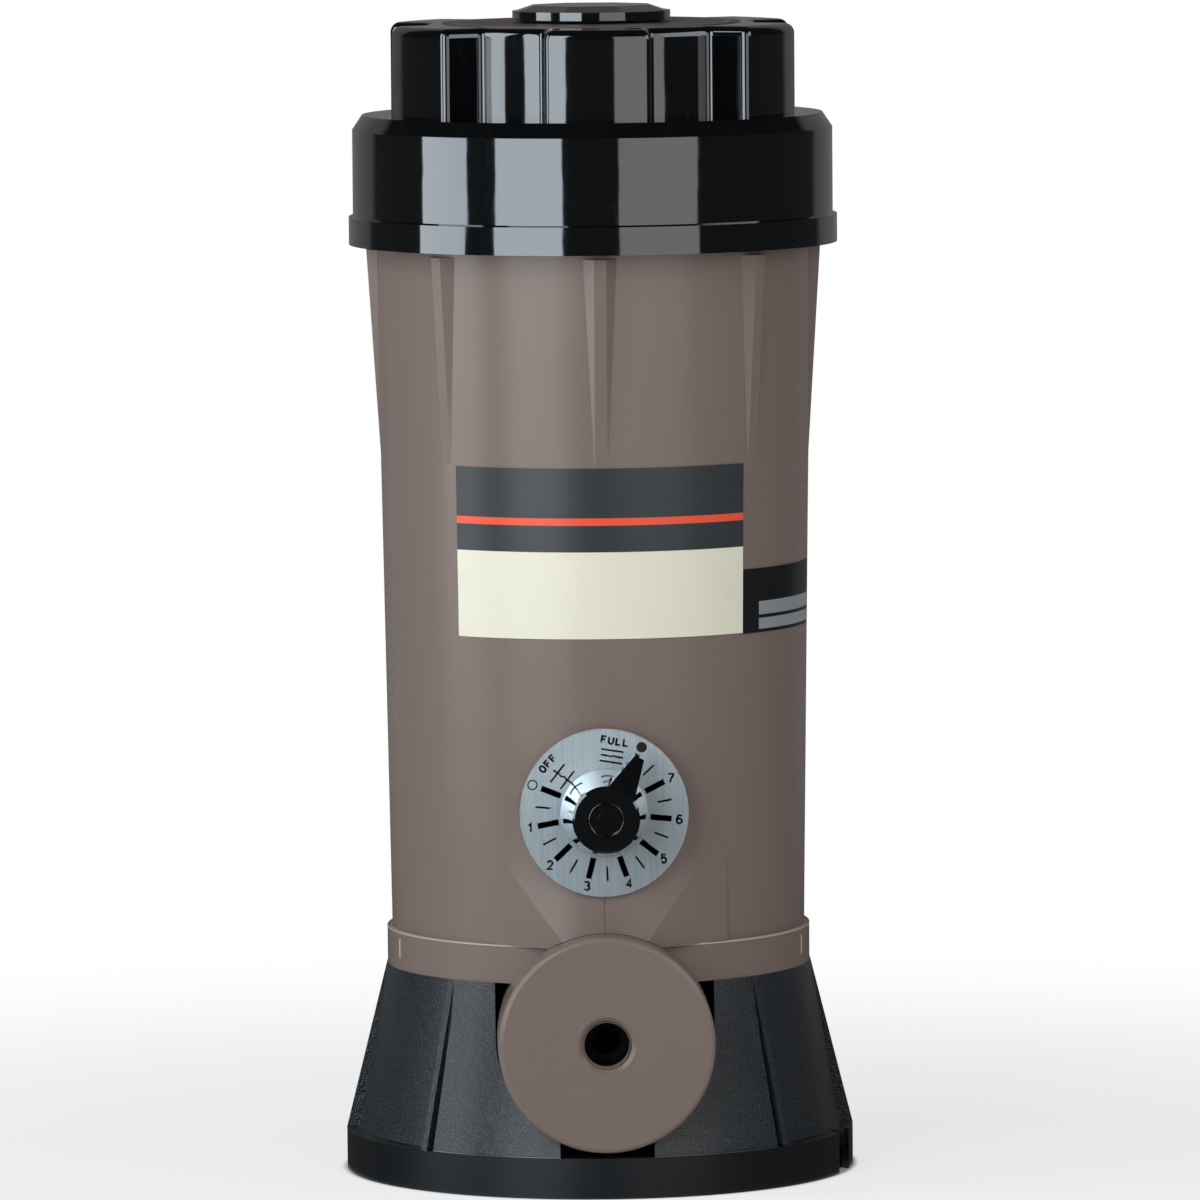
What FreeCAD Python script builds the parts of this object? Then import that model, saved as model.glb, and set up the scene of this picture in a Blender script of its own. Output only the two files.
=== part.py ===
"""Off-line tablet chlorine feeder: a tall moulded tank with a screw cap, a dial valve on its front,
a flow barrel across its foot and a finned base skirt.

Frame: origin at the centre of the base's underside, +Z up, the dial and the front port face -Y.
All sizes are in millimetres and degrees.
"""

import FreeCAD, Part

import math
import os

import Sketcher
from FreeCAD import Placement, Rotation, Vector

SIZES = (
    # base skirt
    ("ring_radius", 95.8, "outer radius of the plain ring that stands on the floor"),
    ("ring_height", 15.2, "height of the plain ring"),
    ("ring_wall", 3.0, "wall of the plain ring"),
    ("ring_ledge", 4.8, "width of the ledge on the ring, outside the conical wall"),
    ("skirt_lip", 0.3, "how far the skirt's top edge stands out past the collar"),
    ("skirt_top", 78.0, "height of the skirt's top edge"),
    ("skirt_wall", 2.7, "wall of the conical part"),
    ("fin_width", 2.6, "thickness of a fin"),
    ("fin_angle", 45.0, "angle from one fin to the next"),
    ("panel_angle", 85.4, "angle that the proud panel round a barrel opening covers"),
    ("panel_ledge", 0.9, "width of the ring's ledge in front of a proud panel"),
    ("panel_lip", 0.5, "how far a proud panel stands out at the skirt's top edge"),
    ("opening_gap", 0.5, "gap between the barrel and the skirt's opening"),
    ("drain_slot_width", 35.0, "width of the narrow slot below each barrel end"),
    ("notch_angle", 17.5, "angle of the first screw notch from +X towards -Y"),
    ("notch_width", 6.7, "width of a screw notch in the ring"),
    ("notch_depth", 9.0, "how far a screw notch runs in from the ring's edge"),
    ("foot_pad_thickness", 6.0, "floor of the screw channel, level with the ring's top"),
    ("channel_radius", 8.6, "radius of the upright screwdriver channel over a notch"),
    ("channel_inset", 5.3, "distance of the channel's axis in from the ring's edge"),
    ("channel_drop", 6.0, "how far below the skirt's top edge the channel runs out"),
    ("channel_wall", 2.4, "wall behind the channel"),
    ("lug_angle", 30.0, "angle of the screw lugs either side of the X axis"),
    ("lug_inset", 13.8, "distance of a lug's screw in from the collar's edge"),
    ("lug_width", 14.0, "width of a lug"),
    ("boss_length", 14.0, "length of the screw bosses under the floor"),
    ("lug_thickness", 4.0, "thickness of a lug"),
    ("screw_shank_radius", 2.0, "radius of the base screws' shank"),
    ("screw_head_radius", 4.0, "radius of the base screws' head"),
    ("screw_head_thickness", 2.4, "thickness of the base screws' head"),
    ("screw_length", 14.0, "length of a base screw under its head"),
    ("screw_gap", 0.2, "clearance round a base screw"),
    # lower body and its barrel
    ("collar_step", 1.9, "how far the collar stands out past the tank's foot"),
    ("collar_height", 14.0, "height of the collar round the tank's foot"),
    ("collar_lip", 0.7, "bevel on the collar's top edge"),
    ("floor_thickness", 4.0, "thickness of the vessel's floor"),
    ("weld_gap", 0.1, "clearance of a welded socket joint"),
    ("barrel_radius", 40.3, "outer radius of the cross barrel"),
    ("barrel_wall", 4.0, "wall of the cross barrel"),
    ("barrel_height", 57.6, "height of the cross barrel's axis"),
    ("boss_radius", 6.0, "radius of the screw bosses under the floor"),
    ("feed_hole_radius", 5.0, "radius of the holes from the barrel up into the tank"),
    ("feed_hole_first", 20.0, "distance of the first feed hole behind the axis"),
    ("feed_hole_pitch", 16.0, "distance between feed holes"),
    # end plates of the barrel
    ("end_reach", 2.2, "how far an end plate's face stands out past the ring"),
    ("end_plate_thickness", 6.0, "thickness of an end plate"),
    ("end_round", 2.0, "rounding of an end plate's rim"),
    ("spigot_length", 8.0, "length of an end plate's spigot in the barrel"),
    ("spigot_wall", 4.0, "wall of an end plate's spigot"),
    ("port_radius", 9.15, "bore of a half-inch pipe port"),
    ("port_mouth_radius", 10.65, "radius of a port's bevelled mouth"),
    ("port_bevel", 1.5, "depth of a port's bevelled mouth"),
    ("port_length", 18.0, "length of a port's bore"),
    ("port_boss_radius", 14.0, "radius of the boss behind a port"),
    ("elbow_socket_radius", 10.0, "outer radius of the elbow's upright socket"),
    ("elbow_run_radius", 9.5, "outer radius of the elbow's level run"),
    ("elbow_way_radius", 5.6, "bore of the elbow's level run"),
    ("elbow_end", 8.5, "how far the elbow reaches past the crossing of its two ways"),
    ("elbow_rise", 18.4, "height of the elbow's socket mouth over the barrel's axis"),
    ("tube_socket_depth", 10.0, "depth of the outlet tube's two sockets"),
    ("flow_radius", 5.0, "radius of the water way through the valve"),
    # tank
    ("tank_foot_radius", 77.9, "outer radius of the tank just above the collar"),
    ("tank_top_radius", 81.8, "outer radius of the tank just under the cap"),
    ("tank_height", 258.0, "height of the tapered wall over the collar"),
    ("socket_step", 1.7, "step of the tank's foot inside the collar"),
    ("foot_wall", 4.9, "wall of the tank at its foot"),
    ("neck_wall", 3.2, "wall of the neck"),
    ("neck_step", 0.6, "step from the tank's wall in to the neck"),
    ("neck_height", 40.0, "height of the neck"),
    ("arch_gap", 0.15, "gap between the tank's foot arch and the barrel"),
    ("rib_count", 8, "number of ribs under the cap"),
    ("rib_drop", 2.2, "how far below the tapered wall's top a rib ends"),
    ("rib_length", 76.8, "length of a rib"),
    ("rib_reach", 3.6, "how far a rib's crest stands past the tank's top radius"),
    ("rib_crest_width", 4.5, "width of a rib's crest"),
    ("rib_root_width", 12.4, "width of a rib's root at its top"),
    ("rib_tail_width", 5.2, "width of a rib's root at its tail"),
    ("rib_sink", 1.5, "how far a rib's root is sunk in the wall"),
    ("fairing_drop", 0.7, "how far below the dial's axis the fairing runs out"),
    ("fairing_foot", 8.7, "how far the fairing's foot stands out past the collar"),
    ("fairing_rise", 18.0, "height of the fairing's middle station over the collar"),
    ("fairing_waist_reach", 2.2, "how far the fairing stands out past the collar at its middle station"),
    ("fairing_angle", 36.0, "half the angle between the fairing's flanks"),
    ("thread_pitch", 6.35, "pitch of the cap thread"),
    ("thread_depth", 3.0, "depth of the cap thread"),
    ("thread_gap", 0.8, "clearance at the thread's crests"),
    ("thread_root_width", 3.4, "width of a thread ridge at its root"),
    ("thread_crest_width", 1.6, "width of a thread ridge at its crest"),
    ("thread_rise", 8.0, "height of the neck thread's start over the tapered wall"),
    ("thread_turns", 4, "turns of thread on the neck and in the cap"),
    ("thread_sink", 0.4, "how far a thread ridge is sunk in its wall"),
    # dial valve
    ("dial_rise", 50.7, "height of the dial's axis over the collar"),
    ("dial_boss_radius", 31.6, "radius of the round boss that carries the dial"),
    ("dial_boss_reach", 4.7, "how far the boss's face stands out past the tank's foot"),
    ("dial_boss_length", 12.1, "length of the boss that carries the dial"),
    ("dial_margin", 0.3, "margin of the boss round the dial plate"),
    ("dial_thickness", 1.0, "thickness of the dial plate"),
    ("dial_rest_angle", 60.0, "angle of the pointer at rest, from +X upwards"),
    ("bushing_radius", 10.0, "radius of the valve's threaded bushing"),
    ("bushing_gap", 0.2, "clearance round the bushing"),
    ("bushing_reach", 7.4, "how far the bushing stands past the boss's face"),
    ("nut_flats", 22.0, "width of the valve nut across its flats"),
    ("nut_thickness", 5.0, "thickness of the valve nut"),
    ("gasket_radius", 17.0, "outer radius of the gasket and the valve's shoulder"),
    ("gasket_thickness", 2.0, "thickness of the gasket"),
    ("shoulder_thickness", 3.5, "thickness of the valve's shoulder"),
    ("chamber_radius", 13.0, "outer radius of the valve's chamber"),
    ("chamber_length", 31.0, "length of the valve's chamber behind its shoulder"),
    ("rotor_radius", 8.0, "radius of the rotor"),
    ("rotor_gap", 0.1, "running clearance of the rotor and its stem"),
    ("rotor_play", 0.3, "end clearance of the rotor"),
    ("rotor_inset", 2.0, "how far the rotor's end is inside the chamber"),
    ("stem_radius", 4.0, "radius of the rotor's stem"),
    ("gland_radius", 6.8, "radius of the gland round the stem"),
    ("gland_depth", 8.0, "depth of the gland"),
    ("stem_ring_radius", 1.2, "section radius of the stem's O-rings"),
    ("stem_ring_pitch", 3.4, "distance between the stem's O-rings"),
    ("outlet_inset", 30.6, "distance of the outlet tube behind the boss's face"),
    ("outlet_radius", 6.5, "outer radius of the outlet tube"),
    ("outlet_drop", 26.7, "how far the valve's outlet reaches below the dial's axis"),
    ("outlet_spigot_radius", 9.5, "outer radius of the valve's outlet"),
    ("tube_gap", 0.1, "clearance of the outlet tube in its sockets"),
    # knob
    ("knob_reach", 25.0, "how far the knob stands off the dial plate"),
    ("knob_face_radius", 12.5, "radius of the knob's face"),
    ("knob_dish_radius", 6.8, "radius of the dish in the knob's face"),
    ("knob_dish_depth", 2.0, "depth of the dish in the knob's face"),
    ("knob_back_gap", 0.8, "gap between the knob's core and the bushing"),
    ("cone_foot_radius", 16.3, "outer radius of the bright skirt at the plate"),
    ("cone_wall", 0.8, "wall of the bright skirt"),
    ("cone_play", 0.5, "gap between the bright skirt and the dial plate"),
    ("cone_lip", 1.2, "how far the knob's face stands past the bright skirt"),
    ("pointer_length", 25.5, "length of the pointer from the dial's axis"),
    ("pointer_root_width", 10.8, "width of the pointer at the knob"),
    ("pointer_tip_width", 3.8, "width of the pointer at its tip"),
    ("pointer_tip_height", 4.0, "height of the pointer at its tip"),
    ("pointer_underside", 12.0, "how far the pointer's underside is off the dial plate"),
    ("pointer_slot_gap", 0.2, "gap round the pointer in the bright skirt"),
    ("knob_screw_radius", 1.5, "radius of the knob screw's shank"),
    ("knob_screw_head", 3.0, "radius of the knob screw's head"),
    ("knob_screw_head_thickness", 1.2, "thickness of the knob screw's head"),
    ("knob_screw_length", 9.0, "length of the knob screw under its head"),
    ("knob_screw_gap", 0.1, "clearance round the knob screw"),
    # tablet grate
    ("grate_radius", 74.0, "radius of the grate under the tablets"),
    ("grate_clearance", 1.7, "gap between the dial boss and the grate"),
    ("grate_thickness", 4.0, "thickness of the grate"),
    ("grate_leg_radius", 4.5, "radius of a grate leg"),
    ("grate_leg_x", 52.0, "place of a grate leg across"),
    ("grate_leg_y", 38.0, "place of a grate leg front to back"),
    ("grate_slot_width", 6.0, "width of a slot in the grate"),
    ("grate_slot_count", 12, "number of slots in each ring of the grate"),
    ("grate_slot_inner", 20.0, "radius at which the inner slots start"),
    ("grate_slot_length", 20.0, "length of a slot in the grate"),
    ("grate_slot_web", 6.0, "web between inner and outer slots"),
    # cap
    ("cap_overlap", 0.2, "how far the cap reaches below the neck"),
    ("cap_band_reach", 1.6, "how far the lower band stands out past the ring"),
    ("cap_band_height", 10.4, "height of the cap's lower band"),
    ("cap_band_step", 0.6, "bevel between the band and the ring"),
    ("cap_ring_wall", 5.3, "wall of the cap's ring"),
    ("cap_ring_height", 32.7, "height of the ring over the band, up to its bevel"),
    ("cap_bevel_height", 5.5, "height of the ring's bevel"),
    ("cap_bevel", 3.7, "width of the ring's bevel"),
    ("cap_seat_gap", 1.5, "gap between the tank's mouth and the cap's underside"),
    ("recess_depth", 15.6, "depth of the recesses between the lobes"),
    ("lobe_inset", 11.7, "how far the lobes are inside the ring"),
    ("lobe_width", 39.2, "width of a lobe"),
    ("lobe_count", 6, "number of lobes"),
    ("lobe_height", 34.0, "height of the lobes over the shoulder"),
    ("lobe_side_round", 2.6, "rounding of a lobe's upright edges"),
    ("lobe_top_round", 3.6, "rounding of the lobes' top edge"),
    ("cap_wall", 4.2, "wall of the lobes and of the cap's top"),
    ("cap_seal_section", 1.75, "section radius of the cap O-ring"),
    ("cap_seal_gap", 0.25, "clearance round the cap O-ring"),
    ("hub_radius", 29.7, "radius of the hub's rim"),
    ("hub_undercut", 4.5, "how far the hub's root is inside its rim"),
    ("hub_crown_inset", 8.2, "how far the top's flats are inside the rim"),
    ("hub_rise", 1.5, "height of the rim's lower edge over the lobes"),
    ("hub_rim_height", 3.1, "height of the hub's rim"),
    ("hub_crown_height", 2.1, "height of the hub's bevelled top"),
    ("hub_stud_radius", 8.0, "radius of the hub's stud in the cap"),
    ("hub_stud_length", 8.0, "length of the hub's stud in the cap"),
    ("hub_gap", 0.1, "clearance of the hub's stud in the cap"),
    ("cap_label_thickness", 0.3, "thickness of the ring label on the cap"),
    ("cap_label_radius", 56.0, "outer radius of the ring label on the cap"),
    # labels on the tank
    ("label_gap", 0.1, "adhesive under a label"),
    ("label_thickness", 0.3, "thickness of a label"),
    ("main_label_rise", 115.0, "height of the main label's lower edge over the collar"),
    ("main_label_height", 63.4, "height of the main label"),
    ("main_label_angle", 82.6, "angle that the main label covers"),
    ("side_label_rise", 114.6, "height of the side label's lower edge over the collar"),
    ("side_label_height", 24.0, "height of the side label"),
    ("side_label_angle", 38.4, "angle that the side label covers"),
    ("side_label_centre", 60.9, "angle of the side label's centre from the front"),
)

CORNER_TOLERANCE = 1e-4
NUT_SIDES = 6
HUB_SIDES = 8

doc = FreeCAD.newDocument("chlorine_feeder")


class Size:
    """A length or an angle with its value and the sheet expression that gives it."""

    def __init__(self, value, text):
        self.value = float(value)
        self.text = text

    def joined(self, other, sign, result):
        return Size(result, f"({self.text} {sign} {sized(other).text})")

    def __add__(self, other):
        return self.joined(other, "+", self.value + sized(other).value)

    def __sub__(self, other):
        return self.joined(other, "-", self.value - sized(other).value)

    def __mul__(self, other):
        return self.joined(other, "*", self.value * sized(other).value)

    def __truediv__(self, other):
        return self.joined(other, "/", self.value / sized(other).value)

    def __neg__(self):
        return Size(-self.value, f"(0 - {self.text})")


def sized(number):
    """A Size as it is, or a plain number as a Size."""
    return number if isinstance(number, Size) else Size(number, repr(float(number)))


def tangent(angle):
    return Size(math.tan(math.radians(angle.value)), f"tan({angle.text})")


def cosine(angle):
    return Size(math.cos(math.radians(angle.value)), f"cos({angle.text})")


def sine(angle):
    return Size(math.sin(math.radians(angle.value)), f"sin({angle.text})")


class Sheet:
    """The driving dimensions, one row each, read back as attributes."""

    def __init__(self, rows):
        cells = doc.addObject("Spreadsheet::Sheet", "Sizes")
        for row, (name, value, meaning) in enumerate(rows, start=1):
            cells.set(f"A{row}", name)
            cells.set(f"B{row}", str(value))
            cells.setAlias(f"B{row}", name)
            cells.set(f"C{row}", meaning)
            setattr(self, name, Size(value, f"Sizes.{name}"))


s = Sheet(SIZES)
doc.recompute()

# places and radii that follow from the driving sizes
s.collar_top = s.skirt_top + s.collar_height
s.collar_radius = s.tank_foot_radius + s.collar_step
s.skirt_foot_radius = s.ring_radius - s.ring_ledge
s.skirt_top_radius = s.collar_radius + s.skirt_lip
s.panel_foot_radius = s.ring_radius - s.panel_ledge
s.panel_top_radius = s.skirt_top_radius + s.panel_lip
s.channel_distance = s.ring_radius - s.channel_inset
s.channel_top = s.skirt_top - s.channel_drop
s.lug_top = s.skirt_top - s.boss_length
s.lug_radius = s.collar_radius - s.lug_inset
s.end_face = s.ring_radius + s.end_reach
s.socket_radius = s.tank_foot_radius - s.socket_step
s.tank_foot_inner = s.tank_foot_radius - s.foot_wall
s.tank_top = s.collar_top + s.tank_height
s.neck_radius = s.tank_top_radius - s.neck_step
s.neck_top = s.tank_top + s.neck_height
s.mouth_radius = s.neck_radius - s.neck_wall
s.rib_top = s.tank_top - s.rib_drop
s.rib_tail = s.rib_top - s.rib_length
s.rib_crest_radius = s.tank_top_radius + s.rib_reach
s.dial_height = s.collar_top + s.dial_rise
s.dial_face = s.tank_foot_radius + s.dial_boss_reach
s.dial_boss_back = s.dial_face - s.dial_boss_length
s.dial_radius = s.dial_boss_radius - s.dial_margin
s.fairing_top = s.dial_height - s.fairing_drop
s.fairing_middle = s.collar_top + s.fairing_rise
s.fairing_reach = s.collar_radius + s.fairing_foot
s.fairing_waist = s.collar_radius + s.fairing_waist_reach
s.thread_start = s.tank_top + s.thread_rise
s.outlet_distance = s.dial_face - s.outlet_inset
s.outlet_mouth = s.dial_height - s.outlet_drop
s.outlet_seat = s.outlet_mouth + s.tube_socket_depth
s.elbow_top = s.barrel_height + s.elbow_rise
s.elbow_seat = s.elbow_top - s.tube_socket_depth
s.grate_height = s.dial_height + s.dial_boss_radius + s.grate_clearance
s.cap_bottom = s.tank_top - s.cap_overlap
s.cap_band_top = s.cap_bottom + s.cap_band_height
s.cap_ring_top = s.cap_band_top + s.cap_ring_height
s.cap_shoulder = s.cap_ring_top + s.cap_bevel_height
s.cap_underside = s.neck_top + s.cap_seat_gap
s.lobe_top = s.cap_shoulder + s.lobe_height
s.cap_bore = s.neck_radius + s.thread_depth + s.thread_gap
s.cap_ring_radius = s.cap_bore + s.cap_ring_wall
s.cap_band_radius = s.cap_ring_radius + s.cap_band_reach
s.lobe_radius = s.cap_ring_radius - s.lobe_inset
s.cap_floor_radius = s.lobe_radius - s.recess_depth
s.cap_ring_seal_radius = (s.neck_radius + s.mouth_radius) / 2
s.hub_root_radius = s.hub_radius - s.hub_undercut
s.hub_flat = (s.hub_radius - s.hub_crown_inset) * 2
s.hub_rim_bottom = s.lobe_top + s.hub_rise
s.hub_rim_top = s.hub_rim_bottom + s.hub_rim_height
s.hub_top = s.hub_rim_top + s.hub_crown_height
s.main_label_bottom = s.collar_top + s.main_label_rise
s.main_label_top = s.main_label_bottom + s.main_label_height
s.side_label_bottom = s.collar_top + s.side_label_rise
s.side_label_top = s.side_label_bottom + s.side_label_height


def body(label, place=None):
    """A new body with its node's name, at its place."""
    made = doc.addObject("PartDesign::Body", label)
    made.Label = label
    made.Placement = place or Placement()
    return made


def bind(thing, prop, amount):
    """Ties one property of a feature to the sheet."""
    thing.setExpression(prop, sized(amount).text)


def sketch(owner, role, offset=0.0, turn=0.0):
    """A sketch on one of the body's own planes, moved along and turned about its normal."""
    plane = next(f for f in owner.Origin.OriginFeatures if f.Role == role)
    made = owner.newObject("Sketcher::SketchObject", f"{owner.Label}_sketch")
    made.AttachmentSupport = (plane, [""])
    made.MapMode = "FlatFace"
    turned = Rotation(Vector(0, 0, 1), sized(turn).value)
    made.AttachmentOffset = Placement(Vector(0, 0, sized(offset).value), turned)
    if isinstance(offset, Size):
        bind(made, "AttachmentOffset.Base.z", offset)
    if isinstance(turn, Size):
        bind(made, "AttachmentOffset.Rotation.Angle", turn)
    return made


def pin_point(sk, shape, end, x, y):
    """Fixes one point of a sketch to its two sizes."""
    for kind, axis, amount in (("DistanceX", -2, sized(x)), ("DistanceY", -1, sized(y))):
        if abs(amount.value) < CORNER_TOLERANCE:
            sk.addConstraint(Sketcher.Constraint("PointOnObject", shape, end, axis))
            continue
        index = sk.addConstraint(Sketcher.Constraint(kind, -1, 1, shape, end, amount.value))
        bind(sk, f"Constraints[{index}]", amount)


def spot(x, y):
    """A point of a sketch from two sizes."""
    return Vector(sized(x).value, sized(y).value, 0)


def outline(sk, points):
    """Adds a closed outline. A corner is (x, y), or (x, y, via) where an arc leaves it by a point."""
    first = sk.GeometryCount
    count = len(points)
    corners = [spot(*point[:2]) for point in points]
    ends = []
    for i, point in enumerate(points):
        begin, finish = corners[i], corners[(i + 1) % count]
        if len(point) == 2:
            sk.addGeometry(Part.LineSegment(begin, finish), False)
            ends.append((1, 2))
            continue
        sk.addGeometry(Part.Arc(begin, spot(*point[2]), finish), False)
        forward = sk.Geometry[first + i].StartPoint.distanceToPoint(begin) < CORNER_TOLERANCE
        ends.append((1, 2) if forward else (2, 1))
    for i in range(count):
        after = (i + 1) % count
        joint = (first + i, ends[i][1], first + after, ends[after][0])
        sk.addConstraint(Sketcher.Constraint("Coincident", *joint))
    for i, point in enumerate(points):
        pin_point(sk, first + i, ends[i][0], *point[:2])
        if len(point) == 3:
            index = sk.GeometryCount
            sk.addGeometry(Part.Point(spot(*point[2])), True)
            pin_point(sk, index, 1, *point[2])
            sk.addConstraint(Sketcher.Constraint("PointOnObject", index, 1, first + i))
    return sk


def circle(sk, x, y, radius):
    """Adds a circle with its centre and radius tied to the sheet."""
    centre = Vector(sized(x).value, sized(y).value, 0)
    index = sk.GeometryCount
    sk.addGeometry(Part.Circle(centre, Vector(0, 0, 1), radius.value), False)
    pin_point(sk, index, 3, x, y)
    held = sk.addConstraint(Sketcher.Constraint("Radius", index, radius.value))
    bind(sk, f"Constraints[{held}]", radius)
    return sk


def box_outline(sk, x0, x1, y0, y1):
    return outline(sk, [(x0, y0), (x1, y0), (x1, y1), (x0, y1)])


def feature(owner, kind, sk):
    made = owner.newObject(f"PartDesign::{kind}", f"{owner.Label}_{kind.lower()}")
    made.Profile = sk
    sk.Visibility = False
    return made


def pad(owner, sk, length, centred=False, back=False):
    made = feature(owner, "Pad", sk)
    made.SideType = "Symmetric" if centred else "One side"
    made.Reversed = back
    bind(made, "Length", length)
    return made


def pocket(owner, sk, length=None, centred=False, back=False):
    """Cuts along the sketch's normal, reversed as a pad is; no length cuts right through."""
    made = feature(owner, "Pocket", sk)
    made.SideType = "Symmetric" if centred else "One side"
    made.Reversed = not back
    if length is None:
        made.Type = "ThroughAll"
    else:
        bind(made, "Length", length)
    return made


def turned(owner, sk, kind="Revolution", angle=None):
    """A revolution or groove about the sketch's upright axis."""
    made = feature(owner, kind, sk)
    made.ReferenceAxis = (sk, ["V_Axis"])
    if angle is None:
        made.Angle = 360.0
    else:
        made.Midplane = True
        bind(made, "Angle", angle)
    return made


def loft(owner, lower, upper):
    made = feature(owner, "AdditiveLoft", lower)
    made.Sections = [upper]
    made.Ruled = True
    upper.Visibility = False
    return made


def thread(owner, sk, turns):
    """A helical ridge about the upright axis, right-handed."""
    made = feature(owner, "AdditiveHelix", sk)
    made.ReferenceAxis = (sk, ["V_Axis"])
    made.Mode = "pitch-turns-angle"
    bind(made, "Pitch", s.thread_pitch)
    bind(made, "Turns", turns)
    return made


def around(owner, originals, count, angle=360.0, axis="Z_Axis"):
    """Repeats features about one of the body's own axes."""
    made = owner.newObject("PartDesign::PolarPattern", f"{owner.Label}_pattern")
    made.Originals = originals
    line = next(f for f in owner.Origin.OriginFeatures if f.Role == axis)
    made.Axis = (line, [""])
    made.Angle = angle
    bind(made, "Occurrences", count)
    owner.Tip = made
    return made


def edges_where(owner, wanted):
    """Names of the edges of the body's present shape that a test picks."""
    doc.recompute()
    shape = owner.Tip.Shape
    return [f"Edge{i}" for i, e in enumerate(shape.Edges, start=1) if wanted(e)]


def dressed(owner, kind, edges, prop, amount):
    """A fillet or chamfer on named edges of the body's present tip."""
    base = owner.Tip
    made = owner.newObject(f"PartDesign::{kind}", f"{owner.Label}_{kind.lower()}")
    made.Base = (base, edges)
    bind(made, prop, amount)
    owner.Tip = made
    return made


def tank_radius(height):
    """Outer radius of the tank's tapered wall at a height."""
    slope = (s.tank_top_radius - s.tank_foot_radius) / (s.tank_top - s.collar_top)
    return s.tank_foot_radius + (height - s.collar_top) * slope


def skirt_radius(height):
    """Outer radius of the skirt's conical wall at a height."""
    slope = (s.skirt_foot_radius - s.skirt_top_radius) / (s.skirt_top - s.ring_height)
    return s.skirt_top_radius + (s.skirt_top - height) * slope


VESSEL_FLOOR = s.skirt_top + s.floor_thickness
BARREL_BORE = s.barrel_radius - s.barrel_wall
BARREL_END = s.end_face - s.end_plate_thickness
PLATE_FACE = s.dial_face + s.dial_thickness
KNOB_FACE = PLATE_FACE + s.knob_reach
BUSHING_END = s.dial_face + s.bushing_reach
GASKET_BACK = s.dial_boss_back - s.gasket_thickness
SHOULDER_BACK = GASKET_BACK - s.shoulder_thickness
CHAMBER_END = SHOULDER_BACK - s.chamber_length
ROTOR_END = CHAMBER_END + s.rotor_inset
DISH_FLOOR = KNOB_FACE - s.knob_dish_depth
STEM_END = DISH_FLOOR - s.knob_dish_depth
CAP_CEILING = s.lobe_top - s.cap_wall
SEAL_HEIGHT = s.neck_top + s.cap_seal_gap + s.cap_seal_section
AT_DIAL = Placement(Vector(0, 0, s.dial_height.value), Rotation())


def at_dial(made):
    """Puts a body that was drawn about the Y axis on the dial's axis."""
    made.Placement = AT_DIAL
    bind(made, "Placement.Base.z", s.dial_height)
    return made


def at_pointer(made):
    """Puts a body on the dial's axis, turned so that its +X side points as the pointer does."""
    turn = Rotation(Vector(0, -1, 0), s.dial_rest_angle.value)
    made.Placement = Placement(AT_DIAL.Base, turn)
    bind(made, "Placement.Base.z", s.dial_height)
    bind(made, "Placement.Rotation.Angle", s.dial_rest_angle)
    return made


def ridge_profile(sk, root, crest, height):
    """Trapezoid of a thread ridge; the root is sunk in its wall."""
    half_root = s.thread_root_width / 2
    half_crest = s.thread_crest_width / 2
    return outline(
        sk,
        [
            (root, height - half_root),
            (crest, height - half_crest),
            (crest, height + half_crest),
            (root, height + half_root),
        ],
    )


def rib_section(owner, height, crest_radius, root_width):
    """Section of a rib on the tank's front at a height."""
    made = sketch(owner, "XY_Plane", height)
    wall = tank_radius(height)
    crest = s.rib_crest_width / 2
    root = root_width / 2
    sunk = wall - s.rib_sink
    flank_foot = wall - root * root / (wall * 2)
    return outline(
        made,
        [
            (-root, -sunk),
            (root, -sunk),
            (root, -flank_foot),
            (crest, -crest_radius),
            (-crest, -crest_radius),
            (-root, -flank_foot),
        ],
    )


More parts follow.
